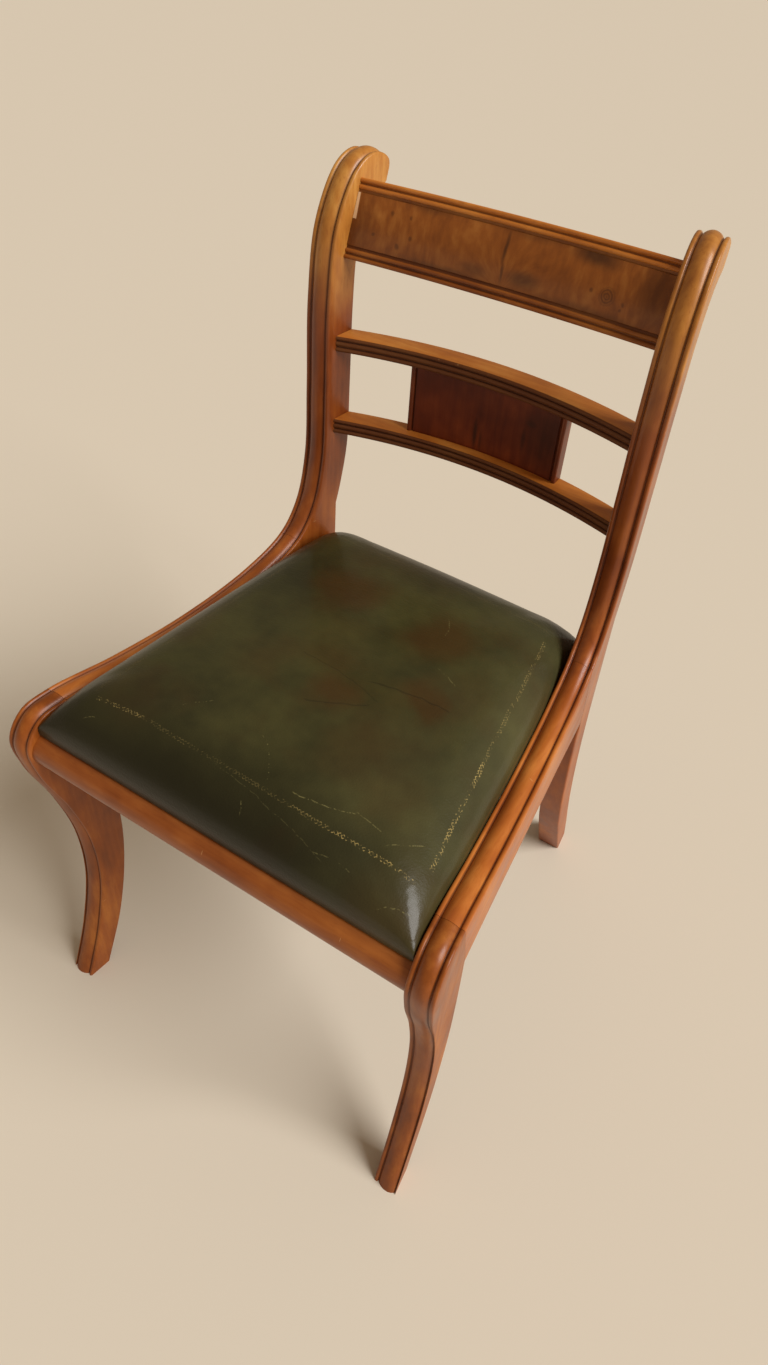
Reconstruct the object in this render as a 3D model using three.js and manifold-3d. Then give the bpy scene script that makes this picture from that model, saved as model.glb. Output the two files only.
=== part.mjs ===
// A bar back dining chair with sabre legs, scrolled back posts and a drop-in leather seat.
// Millimetres, +Z up, +X to the right as seen from the front, the front faces -Y.
// The origin is on the floor under the middle of the chair's length and width.
import * as THREE from "three";
import { mergeVertices } from "three/addons/utils/BufferGeometryUtils.js";
import Module from "manifold-3d";

const wasm = await Module();
wasm.setup();

// Overall sizes
const chairHeight = 850.6;
const chairDepth = 555;
const seatHeight = 446;
const frontWidth = 478.2;
const backWidth = 387.4;
const rearLean = 6.5;
const backLean = 4.3;

// Side frames
const sideThickness = 28;
const toeTaper = 0.8;
const legGrooveShift = 3.3;
const rearFootSpread = 2.8;
const edgeBeadWidth = 4.2;
const grooveWidth = 2;
const grooveDepth = 3.6;
const crownRise = 2.5;
const jointGap = 0.3;
const dowelRadius = 4.5;
const dowelLength = 38;

// Back rails
const crestDrop = 87.4;
const crestHeight = 70.8;
const crestThickness = 18;
const crestTilt = THREE.MathUtils.degToRad(18);
const crestSetBack = 14.4;
const crestBow = 5.5;
const crestEdgeBeadWidth = 3.7;
const crestEdgeGrooveWidth = 1.9;
const crestBeadWidth = 4;
const crestPanelGrooveWidth = 2.7;
const crestRecess = 2.2;
const crestBackRound = 18;
const veneerThickness = 1.2;
const tabletHeight = 76;
const crossRailHeight = 16.5;
const crossRailDepth = 26;
const crossRailSetBack = 11;
const crossRailBow = 27;
const reedDepth = 1.7;
const tabletWidth = 176;
const tabletThickness = 15;
const tabletBeadWidth = 5;
const tabletGrooveWidth = 1.8;

// Seat rails
const frontRailHeight = 39;
const frontRailThickness = 33;
const frontRailSetBack = 3;
const rearRailHeight = 56;
const rearRailThickness = 22;
const rearRailInset = 6;
const seatRailDrop = 21.5;
const tenonLength = 9;
const tenonShoulder = 4;
const blockSize = 46;
const blockHeight = 30;
const blockTip = 9;
const screwShankRadius = 2;
const screwHeadRadius = 4;
const screwHeadHeight = 2.6;
const screwLength = 34;
const screwHoleRun = 21;

// Drop-in seat
const seatClearance = 2;
const seatFrontSetBack = 11.5;
const seatRearOverhang = 2;
const leatherThickness = 3.5;
const seatFrameHeight = 11;
const seatFrameWidth = 46;
const clothThickness = 0.8;
const webbingWidth = 50;
const webbingThickness = 1.2;
const strapCount = 3;
const cushionWallHeight = 12;
const cushionEdgeRound = 60;
const cushionEdgeRise = 43;
const cushionCrown = 4;
const cushionDrawIn = 1.5;

// Clearances, and how finely the curves are cut
const fitGap = 0.3;
const cutOverrun = 5;
const stepsPerSpan = 2;
const railSteps = 12;
const roundSteps = 10;
const cushionSteps = 22;

// Materials
const mahogany = () => new THREE.MeshStandardMaterial({ color: 0x9a5426, roughness: 0.38, metalness: 0 });
const darkVeneer = () => new THREE.MeshStandardMaterial({ color: 0x5e3416, roughness: 0.35, metalness: 0 });
const greenLeather = () => new THREE.MeshStandardMaterial({ color: 0x33331c, roughness: 0.42, metalness: 0 });
const plainBeech = () => new THREE.MeshStandardMaterial({ color: 0xc49a66, roughness: 0.7, metalness: 0 });
const jute = () => new THREE.MeshStandardMaterial({ color: 0xa98d5f, roughness: 0.9, metalness: 0 });
const blackCloth = () => new THREE.MeshStandardMaterial({ color: 0x1d1b19, roughness: 0.95, metalness: 0 });
const steel = () => new THREE.MeshStandardMaterial({ color: 0xb5aa86, roughness: 0.4, metalness: 1 });

const chair = new THREE.Group();
const dropInSeat = new THREE.Group();
chair.add(dropInSeat);

function addMesh(parent, name, geometry, material) {
  const mesh = new THREE.Mesh(geometry, material);
  mesh.name = name;
  parent.add(mesh);
  return mesh;
}

// Solids and cuts
function plainPositions(geometry) {
  const bare = geometry.clone();
  bare.deleteAttribute("normal");
  bare.deleteAttribute("uv");
  return mergeVertices(bare);
}

function toSolid(geometry) {
  const bare = plainPositions(geometry);
  const vertProperties = Float32Array.from(bare.attributes.position.array);
  const triVerts = Uint32Array.from(bare.index.array);
  return new wasm.Manifold(new wasm.Mesh({ numProp: 3, vertProperties, triVerts }));
}

function toGeometry(solid) {
  const mesh = solid.getMesh();
  const geometry = new THREE.BufferGeometry();
  geometry.setAttribute("position", new THREE.BufferAttribute(Float32Array.from(mesh.vertProperties), 3));
  geometry.setIndex(new THREE.BufferAttribute(Uint32Array.from(mesh.triVerts), 1));
  geometry.computeVertexNormals();
  return geometry;
}

function joined(geometry, others) {
  return toGeometry(others.reduce((solid, other) => solid.add(toSolid(other)), toSolid(geometry)));
}

function cut(geometry, others) {
  return toGeometry(others.reduce((solid, other) => solid.subtract(toSolid(other)), toSolid(geometry)));
}

// A box between two corners
function boxBetween(low, high) {
  const size = high.clone().sub(low);
  const box = new THREE.BoxGeometry(size.x, size.y, size.z);
  const middle = low.clone().add(high).multiplyScalar(0.5);
  box.translate(middle.x, middle.y, middle.z);
  return box;
}

// A round bar of a length centred on a point, along a direction
function barAt(radius, length, centre, direction) {
  const bar = new THREE.CylinderGeometry(radius, radius, length, roundSteps);
  const turn = new THREE.Quaternion().setFromUnitVectors(new THREE.Vector3(0, 1, 0), direction);
  bar.applyQuaternion(turn);
  bar.translate(centre.x, centre.y, centre.z);
  return bar;
}

// A closed solid through rings of as many points each; the flat outline is used to fill the two ends
function loft(rings, outline) {
  const count = outline.length;
  const positions = rings.flat().flatMap((point) => [point.x, point.y, point.z]);
  const faces = [];
  for (let ring = 0; ring + 1 < rings.length; ring += 1) {
    for (let point = 0; point < count; point += 1) {
      const here = ring * count + point;
      const beside = ring * count + ((point + 1) % count);
      faces.push(here, beside, beside + count);
      faces.push(here, beside + count, here + count);
    }
  }
  const last = (rings.length - 1) * count;
  const clockwise = THREE.ShapeUtils.isClockWise(outline);
  for (const triangle of THREE.ShapeUtils.triangulateShape(outline, [])) {
    const [a, b, c] = clockwise ? triangle.reverse() : triangle;
    faces.push(c, b, a);
    faces.push(last + a, last + b, last + c);
  }
  const geometry = new THREE.BufferGeometry();
  geometry.setAttribute("position", new THREE.Float32BufferAttribute(positions, 3));
  geometry.setIndex(faces);
  if (signedVolume(geometry) < 0) {
    geometry.setIndex(faces.reverse());
  }
  geometry.computeVertexNormals();
  return geometry;
}

function signedVolume(geometry) {
  const corner = (index) => new THREE.Vector3().fromBufferAttribute(geometry.attributes.position, index);
  let volume = 0;
  for (let face = 0; face < geometry.index.count; face += 3) {
    const [a, b, c] = [0, 1, 2].map((offset) => corner(geometry.index.getX(face + offset)));
    volume += a.dot(b.cross(c));
  }
  return volume;
}

// The side frame's outline. Depth shares run from the toe to the heel. Leg shares run from the floor
// to the seat height, and back shares from the seat height to the top of the chair.
const atDepth = (share) => (share - 0.5) * chairDepth;
const atLeg = (share) => share * seatHeight;
const atBack = (share) => seatHeight + share * (chairHeight - seatHeight);

// Levels of the rails
const upperRailShare = 0.5973;
const crestBottom = chairHeight - crestDrop;
const upperRailTop = atBack(upperRailShare);
const lowerRailTop = upperRailTop - crossRailHeight - tabletHeight;
const seatRailTop = seatHeight - seatRailDrop;

// Rows of the moulded edge and the plain edge behind it: depth, height, depth, height
const postShares = [
  [0.9235, 0.929, 0.9145, 0.917],
  [0.9275, 0.97, 0.8995, 0.909],
  [0.8925, 0.993, 0.8835, 0.892],
  [0.8475, 0.97, 0.8665, 0.857],
  [0.7985, 0.86, 0.8525, 0.792],
  [0.7805, 0.687, 0.8465, 0.665],
  [0.7785, 0.454, 0.8465, 0.446],
  [0.774, 0.256, 0.845, 0.271],
  [0.748, 0.12, 0.829, 0.158],
  [0.701, 0.042, 0.816, 0.096],
];
const sideRailShares = [
  [0.701, 1.038, 0.733, 0.825],
  [0.602, 0.993, 0.611, 0.8185],
  [0.431, 0.97, 0.431, 0.8185],
  [0.259, 0.978, 0.263, 0.8185],
  [0.1155, 0.999, 0.157, 0.812],
];
const frontLegShares = [
  [0.1155, 0.999, 0.157, 0.812],
  [0.0595, 0.989, 0.1585, 0.789],
  [0.0245, 0.933, 0.1605, 0.765],
  [0.0305, 0.839, 0.163, 0.7175],
  [0.0685, 0.679, 0.166, 0.6165],
  [0.092, 0.52, 0.165, 0.493],
  [0.0893, 0.3475, 0.1496, 0.3475],
  [0.054, 0.164, 0.1136, 0.173],
  [0.0045, 0, 0.0575, 0],
];
const rearLegShares = [
  [0.733, 0.825, 0.818, 0.825],
  [0.735, 0.74, 0.8215, 0.74],
  [0.762, 0.545, 0.843, 0.556],
  [0.818, 0.316, 0.8955, 0.3275],
  [0.901, 0.101, 0.9675, 0.1075],
  [0.9405, 0, 1, 0],
];

// Half of the width over the side frames, which draw in to the back. Behind the seat they lean together,
// more below the seat height than above it.
const railBackDepthShare = 0.583;
const postDepthShare = 0.764;
const kneeDepthShare = 0.0252;

function sideHalfWidth(y, z) {
  const along = (y - atDepth(kneeDepthShare)) / (atDepth(0.773) - atDepth(kneeDepthShare));
  const plain = THREE.MathUtils.lerp(frontWidth / 2, backWidth / 2, along);
  const bend = THREE.MathUtils.smoothstep(y, atDepth(railBackDepthShare), atDepth(postDepthShare));
  const lean = z < seatHeight ? rearLean : backLean;
  return plain + (lean * bend * (seatHeight - z)) / seatHeight;
}

const innerHalfWidth = (y, z) => sideHalfWidth(y, z) - sideThickness;

// Down the front legs the outer groove runs out towards the edge and the toe narrows a little.
// The rear feet spread on their inner face.
const grooveRunShares = [0.6, 0.85];
const toeStartShare = 0.3;
const spreadStartShare = 0.5;
const fallTo = (z, lowShare, highShare) => 1 - THREE.MathUtils.smoothstep(z, atLeg(lowShare), atLeg(highShare));

// Distance in from the outer face's line of a place across the thickness
function placeAcross(place, y, z) {
  const innerShare = Math.max(0, (2 * place) / sideThickness - 1);
  if (y > 0) {
    return place + innerShare * rearFootSpread * fallTo(z, 0, spreadStartShare);
  }
  const grooveEnd = edgeBeadWidth + grooveWidth;
  const crownShare = (sideThickness - grooveEnd - place) / (sideThickness - 2 * grooveEnd);
  const shiftShare = Math.max(0, Math.min(1, place / edgeBeadWidth, crownShare));
  const outerShare = Math.max(0, 1 - place / edgeBeadWidth);
  const shift = legGrooveShift * fallTo(z, ...grooveRunShares);
  return place - shiftShare * shift + outerShare * toeTaper * fallTo(z, 0, toeStartShare);
}

// A spline through the rows of one edge, as a list of points with a fixed number to each span
function edgeLine(points) {
  const line = new THREE.CatmullRomCurve3(points, false, "centripetal");
  return line.getPoints((points.length - 1) * stepsPerSpan);
}

const rowPoints = (rows, first, toHeight) =>
  rows.map((row) => new THREE.Vector3(0, atDepth(row[first]), toHeight(row[first + 1])));

// The moulded edge is one smooth line over the post, the side rail and the front leg
const mouldedLine = edgeLine([
  ...rowPoints(postShares, 0, atBack),
  ...rowPoints(sideRailShares.slice(1), 0, atLeg),
  ...rowPoints(frontLegShares.slice(1), 0, atLeg),
]);
const postEnd = (postShares.length - 1) * stepsPerSpan;
const railEnd = postEnd + (sideRailShares.length - 1) * stepsPerSpan;
const postFront = mouldedLine.slice(0, postEnd + 1);
const railTop = mouldedLine.slice(postEnd, railEnd + 1);
const legFront = mouldedLine.slice(railEnd);
const postBack = edgeLine(rowPoints(postShares, 2, atBack));
const railBottom = edgeLine(rowPoints(sideRailShares, 2, atLeg));
const legBack = edgeLine(rowPoints(frontLegShares, 2, atLeg));
const rearLegFront = edgeLine(rowPoints(rearLegShares, 0, atLeg));
const rearLegBack = edgeLine(rowPoints(rearLegShares, 2, atLeg));

// The depth of a line of points at a height
function depthAtHeight(line, height) {
  for (let index = 0; index + 1 < line.length; index += 1) {
    const [above, below] = [line[index], line[index + 1]];
    if ((above.z - height) * (below.z - height) <= 0 && above.z !== below.z) {
      return THREE.MathUtils.lerp(above.y, below.y, (above.z - height) / (above.z - below.z));
    }
  }
  return line[0].y;
}

// The first rows of the post form its scroll; its front lies below them
const scrollRows = 3;
const postFrontAt = (height) => depthAtHeight(postFront.slice(scrollRows * stepsPerSpan), height);

// The moulding across a side frame, from its outer face to its inner face: place and depth below the edge
function mouldingOutline() {
  const centralStart = edgeBeadWidth + grooveWidth;
  const centralWidth = sideThickness - 2 * centralStart;
  const crownShares = [0, 0.2, 0.5, 0.8, 1];
  const bead = [
    [0, edgeBeadWidth / 3],
    [edgeBeadWidth / 3, 0],
    [edgeBeadWidth * 0.8, 0],
    [edgeBeadWidth + grooveWidth / 2, grooveDepth],
  ];
  const crown = crownShares.map((share) => [
    centralStart + share * centralWidth,
    -crownRise * Math.sin(Math.PI * (0.08 + 0.84 * share)),
  ]);
  const farBead = bead.map(([place, depth]) => [sideThickness - place, depth]).reverse();
  return [...bead, ...crown, ...farBead];
}

const moulding = mouldingOutline();
const flatFace = moulding.map(([place]) => [place, 0]);

// One ring across a side frame: a front point, a back point, and the outline of the front
function sideRing(side, front, back, outline, inward) {
  const pointAt = (place, y, z) => new THREE.Vector3(side * (sideHalfWidth(y, z) - placeAcross(place, y, z)), y, z);
  const fronts = outline.map(([place, depth]) =>
    pointAt(place, front.y + depth * inward.y, front.z + depth * inward.z));
  return [...fronts, pointAt(sideThickness, back.y, back.z), pointAt(0, back.y, back.z)];
}

const ringOutline = [
  ...moulding.map(([place, depth]) => new THREE.Vector2(place, depth)),
  new THREE.Vector2(sideThickness, sideThickness),
  new THREE.Vector2(0, sideThickness),
];

const inwardOf = (front, back) => back.clone().sub(front).normalize();

function mouldedRings(side, fronts, backs) {
  return fronts.map((front, index) => sideRing(side, front, backs[index], moulding, inwardOf(front, backs[index])));
}

// The joint faces between the pieces of a side frame
const rearJoint = { top: railTop[0], bottom: railBottom[0] };
const frontJoint = { top: legFront[0], bottom: legBack[0] };

function shifted(points, index, distance) {
  return points.map((point, at) => (at === index ? point.clone().add(new THREE.Vector3(0, distance, 0)) : point));
}

// Dowels across a joint face, square to it
function dowelsOf(joint) {
  const down = joint.bottom.clone().sub(joint.top);
  const across = new THREE.Vector3(0, -down.z, down.y).normalize();
  const placeShares = [0.36, 0.7];
  return placeShares.map((share) => {
    const centre = joint.top.clone().addScaledVector(down, share);
    return { centre, direction: across };
  });
}

function dowelBar(side, dowel, radius, length) {
  const centre = dowel.centre.clone();
  centre.x = side * (sideHalfWidth(centre.y, centre.z) - sideThickness / 2);
  return barAt(radius, length, centre, dowel.direction);
}

const dowelHoles = (side, joint) =>
  dowelsOf(joint).map((dowel) => dowelBar(side, dowel, dowelRadius + fitGap, dowelLength + 2 * fitGap));

// Rails between the side frames, as rings from left to right that end on the inner faces
function railRings(section, bow, endGap, steps) {
  return Array.from({ length: steps + 1 }, (_, step) => {
    const share = (2 * step) / steps - 1;
    return section.map(([y, z]) => {
      const back = bow * (1 - share * share);
      return new THREE.Vector3(share * (innerHalfWidth(y, z) - endGap), y + back, z);
    });
  });
}

const sectionOutline = (section) => section.map(([y, z]) => new THREE.Vector2(y, z));

function railSolid(section, bow, steps) {
  return loft(railRings(section, bow, fitGap / 2, steps), sectionOutline(section));
}

// A tenon at each end of a rail, and the mortises that take them
function tenonBox(side, centre, height, thickness, clearance) {
  const face = innerHalfWidth(centre.y, centre.z);
  const inner = face - tenonShoulder;
  const outer = face + tenonLength + clearance;
  const [lowX, highX] = side > 0 ? [inner, outer] : [-outer, -inner];
  const halfThickness = thickness / 2 + clearance;
  const halfHeight = height / 2 + clearance;
  return boxBetween(
    new THREE.Vector3(lowX, centre.y - halfThickness, centre.z - halfHeight),
    new THREE.Vector3(highX, centre.y + halfThickness, centre.z + halfHeight));
}

const sides = [-1, 1];
const sideName = (side) => (side < 0 ? "left" : "right");

// Crest rail, leaning back with the posts: distance up its face and distance in from its face
const crestFootDepth = postFrontAt(crestBottom) + crestSetBack;

function crestPoint(up, inward) {
  return [
    crestFootDepth + up * Math.sin(crestTilt) + inward * Math.cos(crestTilt),
    crestBottom + up * Math.cos(crestTilt) - inward * Math.sin(crestTilt),
  ];
}

function beadPoints(from, to, depth) {
  const shares = [0.12, 0.5, 0.88];
  return shares.map((share) => [from + share * (to - from), depth * (1 - Math.sin(Math.PI * share))]);
}

const crestBeadBottom = crestEdgeBeadWidth + crestEdgeGrooveWidth;
const crestBeadTop = crestBeadBottom + crestBeadWidth;
const crestPanelBottom = crestBeadTop + crestPanelGrooveWidth;

// Two beads and two grooves along each edge of the front, and a back that rounds over at the top
function crestSection() {
  const edge = [
    ...beadPoints(0, crestEdgeBeadWidth, crestRecess / 2),
    [(crestEdgeBeadWidth + crestBeadBottom) / 2, crestRecess],
    ...beadPoints(crestBeadBottom, crestBeadTop, crestRecess / 2),
    [crestBeadTop + crestPanelGrooveWidth / 3, crestRecess],
  ];
  const upperEdge = edge.map(([up, inward]) => [crestHeight - up, inward]).reverse();
  const backShares = [0.22, 0.45, 0.67, 0.89, 1];
  const back = backShares.map((share) => [crestHeight - crestBackRound * share * share, crestThickness * share]);
  return [...edge, ...upperEdge, ...back, [0, crestThickness]].map(([up, inward]) => crestPoint(up, inward));
}

const crestTenonHeight = crestHeight * 0.44;
const crestTenonThickness = crestThickness * 0.45;

function crestTenon(side, clearance) {
  const [y, z] = crestPoint(crestHeight * 0.36, crestThickness * 0.55);
  const upright = new THREE.Vector3(0, y, z);
  const box = tenonBox(side, upright, crestTenonHeight, crestTenonThickness, clearance);
  box.translate(0, -y, -z);
  box.rotateX(-crestTilt);
  box.translate(0, y, z);
  return box;
}

function crestRail() {
  const rail = railSolid(crestSection(), crestBow, railSteps);
  return joined(rail, sides.map((side) => crestTenon(side, 0)));
}

function crestPanel() {
  const bottom = crestPanelBottom;
  const top = crestHeight - bottom;
  const back = crestRecess - fitGap / 2;
  const front = back - veneerThickness;
  const section = [[bottom, front], [top, front], [top, back], [bottom, back]].map(([up, inward]) => crestPoint(up, inward));
  return loft(railRings(section, crestBow, fitGap, railSteps), sectionOutline(section));
}

// Cross rails with a reeded front
const crossRailFront = (top) => postFrontAt(top - crossRailHeight / 2) + crossRailSetBack;

function crossRailSection(top) {
  const front = crossRailFront(top);
  const reedShares = [
    [0, 1], [0.07, 0], [0.22, 0], [0.29, 1], [0.36, 0.1], [0.5, -0.25],
    [0.64, 0.1], [0.71, 1], [0.78, 0], [0.93, 0], [1, 1],
  ];
  const reeds = reedShares.map(([down, inward]) => [front + inward * reedDepth, top - down * crossRailHeight]);
  return [...reeds, [front + crossRailDepth, top - crossRailHeight], [front + crossRailDepth, top]];
}

const crossTenonHeight = crossRailHeight * 0.55;
const crossTenonThickness = crossRailDepth * 0.45;

function crossTenon(side, top, clearance) {
  const centre = new THREE.Vector3(0, crossRailFront(top) + crossRailDepth / 2, top - crossRailHeight / 2);
  return tenonBox(side, centre, crossTenonHeight, crossTenonThickness, clearance);
}

function crossRail(top) {
  const rail = railSolid(crossRailSection(top), crossRailBow, railSteps);
  return joined(rail, sides.map((side) => crossTenon(side, top, 0)));
}

// The tablet stands on the lower cross rail and follows its bow
const tabletFoot = lowerRailTop + fitGap / 2;
const tabletTop = upperRailTop - crossRailHeight - fitGap / 2;
const tabletBack = Math.min(crossRailFront(lowerRailTop), crossRailFront(upperRailTop)) + crossRailDepth;

function bowedDepth(x) {
  const share = x / innerHalfWidth(tabletBack, lowerRailTop);
  return tabletBack + crossRailBow * (1 - share * share);
}

// A plan outline between two distances in front of the bowed back line
function bowedPlan(halfWidth, frontOffsets, backOffset) {
  const shape = new THREE.Shape();
  const backs = Array.from({ length: railSteps + 1 }, (_, step) => halfWidth * (1 - (2 * step) / railSteps));
  const fronts = frontOffsets.map(([x, offset]) => new THREE.Vector2(x, bowedDepth(x) - offset));
  shape.setFromPoints([...fronts, ...backs.map((x) => new THREE.Vector2(x, bowedDepth(x) - backOffset))]);
  return shape;
}

function extrudedBetween(shape, low, high) {
  const geometry = new THREE.ExtrudeGeometry(shape, { depth: high - low, bevelEnabled: false });
  geometry.translate(0, 0, low);
  return geometry;
}

const panelHalfWidth = tabletWidth / 2 - tabletBeadWidth - tabletGrooveWidth;

function tabletFrontOffsets() {
  const half = tabletWidth / 2;
  const floor = tabletThickness - 2 * veneerThickness;
  const beadEnd = half - tabletBeadWidth;
  const bead = [
    [half, tabletThickness - tabletBeadWidth / 2],
    [half - tabletBeadWidth * 0.25, tabletThickness],
    [half - tabletBeadWidth * 0.75, tabletThickness],
    [beadEnd, tabletThickness - tabletGrooveWidth],
    [beadEnd - tabletGrooveWidth / 2, floor],
  ];
  const steps = railSteps - 2;
  const panel = Array.from({ length: steps + 1 }, (_, step) => [-panelHalfWidth * (1 - (2 * step) / steps), floor]);
  const leftBead = bead.map(([x, offset]) => [-x, offset]);
  return [...leftBead, ...panel, ...bead.reverse()];
}

function centreTablet() {
  return extrudedBetween(bowedPlan(tabletWidth / 2, tabletFrontOffsets(), 0), tabletFoot, tabletTop);
}

function tabletPanel() {
  const half = panelHalfWidth - fitGap;
  const back = tabletThickness - 2 * veneerThickness + fitGap / 2;
  const steps = railSteps - 2;
  const front = Array.from({ length: steps + 1 }, (_, step) => [
    -half * (1 - (2 * step) / steps),
    back + veneerThickness,
  ]);
  return extrudedBetween(bowedPlan(half, front, back), tabletFoot, tabletTop);
}

// Front and rear seat rails
const kneeFront = Math.min(...legFront.filter((point) => point.z > seatHeight / 2).map((point) => point.y));
const frontRailFace = kneeFront + frontRailSetBack;
const frontRailBack = frontRailFace + frontRailThickness;

function frontRailSection() {
  const radius = frontRailHeight / 2;
  const arc = Array.from({ length: roundSteps + 1 }, (_, step) => {
    const angle = Math.PI * (step / roundSteps - 0.5);
    return [frontRailFace + radius - radius * Math.cos(angle), seatRailTop - radius + radius * Math.sin(angle)];
  });
  return [...arc, [frontRailBack, seatRailTop], [frontRailBack, seatRailTop - frontRailHeight]];
}

function frontTenon(side, clearance) {
  const height = frontRailHeight * 0.5;
  const thickness = frontRailThickness * 0.4;
  const centre = new THREE.Vector3(0, frontRailBack - thickness * 0.9, seatRailTop - frontRailHeight / 2);
  return tenonBox(side, centre, height, thickness, clearance);
}

const rearRailBack = depthAtHeight(rearLegBack, seatRailTop - rearRailHeight) - rearRailInset;
const rearRailFront = rearRailBack - rearRailThickness;

function rearRailSection() {
  const bottom = seatRailTop - rearRailHeight;
  return [[rearRailFront, bottom], [rearRailBack, bottom], [rearRailBack, seatRailTop], [rearRailFront, seatRailTop]];
}

function rearTenon(side, clearance) {
  const height = rearRailHeight * 0.6;
  const thickness = rearRailThickness * 0.45;
  const centre = new THREE.Vector3(0, rearRailFront + rearRailThickness / 2, seatRailTop - rearRailHeight / 2);
  return tenonBox(side, centre, height, thickness, clearance);
}

// Corner blocks: a wedge against a side frame and a seat rail, with a screw into each
const blockTop = seatRailTop - fitGap;
const blockBottom = blockTop - blockHeight;

// End is -1 at the front rail and 1 at the rear rail
function blockCorner(end) {
  return end < 0 ? frontRailBack + fitGap : rearRailFront - fitGap;
}

function blockRing(side, end, z) {
  const start = blockCorner(end);
  const edge = (y) => innerHalfWidth(y, z) - fitGap;
  const far = start - end * blockSize;
  const near = start - end * blockTip;
  return [
    new THREE.Vector3(side * edge(start), start, z),
    new THREE.Vector3(side * edge(far), far, z),
    new THREE.Vector3(side * (edge(far) - blockTip), far, z),
    new THREE.Vector3(side * (edge(start) - blockSize), near, z),
    new THREE.Vector3(side * (edge(start) - blockSize), start, z),
  ];
}

const blockRings = (side, end) => [blockRing(side, end, blockBottom), blockRing(side, end, blockTop)];

// A screw lies along its own +Y from its head, and turns to its rail. Those into the side frames
// pass between the dowels, and those into the seat rails cross them lower or higher.
const screwPlaces = [];
for (const side of sides) {
  for (const end of [-1, 1]) {
    const start = blockCorner(end);
    const offset = blockSize * 0.34;
    const [upper, lower] = dowelsOf(end < 0 ? frontJoint : rearJoint);
    const sideLevel = (upper.centre.z + lower.centre.z) / 2;
    const levelShare = sideLevel > blockTop - blockHeight / 2 ? 0.25 : 0.75;
    const railLevel = blockBottom + blockHeight * levelShare;
    const y = start - end * offset;
    const face = innerHalfWidth(y, sideLevel);
    const sideHead = face - screwLength + tenonLength + fitGap;
    const seatX = innerHalfWidth(start, railLevel) - offset;
    screwPlaces.push({
      name: `${sideName(side)}_${end < 0 ? "front" : "rear"}_side_screw`,
      block: `${side}${end}`,
      rail: `side${side}`,
      head: new THREE.Vector3(side * sideHead, y, sideLevel),
      direction: new THREE.Vector3(side, 0, 0),
    });
    screwPlaces.push({
      name: `${sideName(side)}_${end < 0 ? "front" : "rear"}_rail_screw`,
      block: `${side}${end}`,
      rail: end < 0 ? "front" : "rear",
      head: new THREE.Vector3(side * seatX, start - end * (screwLength - tenonLength - fitGap), railLevel),
      direction: new THREE.Vector3(0, end, 0),
    });
  }
}

function screwProfile(clearance, headRun) {
  const head = screwHeadRadius + clearance;
  const shank = screwShankRadius + clearance;
  const tip = screwLength + clearance;
  return [
    [0, -headRun], [head, -headRun], [head, screwHeadHeight / 3], [shank, screwHeadHeight + clearance],
    [shank, tip - screwShankRadius], [0, tip],
  ].map(([radius, along]) => new THREE.Vector2(radius, along));
}

const screwShape = (clearance, headRun) => new THREE.LatheGeometry(screwProfile(clearance, headRun), roundSteps);
const screwTurn = (place) => new THREE.Quaternion().setFromUnitVectors(new THREE.Vector3(0, 1, 0), place.direction);

function screwHole(place) {
  const hole = screwShape(fitGap, screwHoleRun);
  hole.applyQuaternion(screwTurn(place));
  hole.translate(place.head.x, place.head.y, place.head.z);
  return hole;
}

const holesWhere = (test) => screwPlaces.filter(test).map(screwHole);

// Build the wooden frame
for (const side of sides) {
  const name = sideName(side);

  const postRings = mouldedRings(side, postFront, postBack);
  const jointDown = inwardOf(rearJoint.top, rearJoint.bottom);
  postRings[postRings.length - 1] = sideRing(side, rearJoint.top, postBack[postEnd], moulding, jointDown);
  const below = rearJoint.top.clone().addScaledVector(jointDown, 2 * grooveDepth);
  const plainFronts = [below, ...rearLegFront];
  const plainBacks = [postBack[postEnd].clone().lerp(rearLegBack[0], 0.1), ...rearLegBack];
  const legRings = plainFronts.map((front, index) => sideRing(side, front, plainBacks[index], flatFace, jointDown));
  const postCuts = [
    crestTenon(side, fitGap),
    crossTenon(side, upperRailTop, fitGap),
    crossTenon(side, lowerRailTop, fitGap),
    rearTenon(side, fitGap),
    ...dowelHoles(side, rearJoint),
    ...holesWhere((place) => place.rail === `side${side}`),
  ];
  addMesh(chair, `${name}_back_post`, cut(loft([...postRings, ...legRings], ringOutline), postCuts), mahogany());

  const last = railTop.length - 1;
  const railFronts = shifted(shifted(railTop, 0, -jointGap), last, jointGap);
  const railBacks = shifted(shifted(railBottom, 0, -jointGap), last, jointGap);
  const railCuts = [
    ...dowelHoles(side, rearJoint),
    ...dowelHoles(side, frontJoint),
    ...holesWhere((place) => place.rail === `side${side}`),
  ];
  const sideRail = loft(mouldedRings(side, railFronts, railBacks), ringOutline);
  addMesh(chair, `${name}_side_rail`, cut(sideRail, railCuts), mahogany());

  const legCuts = [
    frontTenon(side, fitGap),
    ...dowelHoles(side, frontJoint),
    ...holesWhere((place) => place.rail === `side${side}`),
  ];
  const frontLeg = loft(mouldedRings(side, legFront, legBack), ringOutline);
  addMesh(chair, `${name}_front_leg`, cut(frontLeg, legCuts), mahogany());

  for (const [end, joint] of [["rear", rearJoint], ["front", frontJoint]]) {
    for (const [index, dowel] of dowelsOf(joint).entries()) {
      const level = index === 0 ? "upper" : "lower";
      addMesh(chair, `${name}_${end}_${level}_dowel`, dowelBar(side, dowel, dowelRadius, dowelLength), plainBeech());
    }
  }
}

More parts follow.
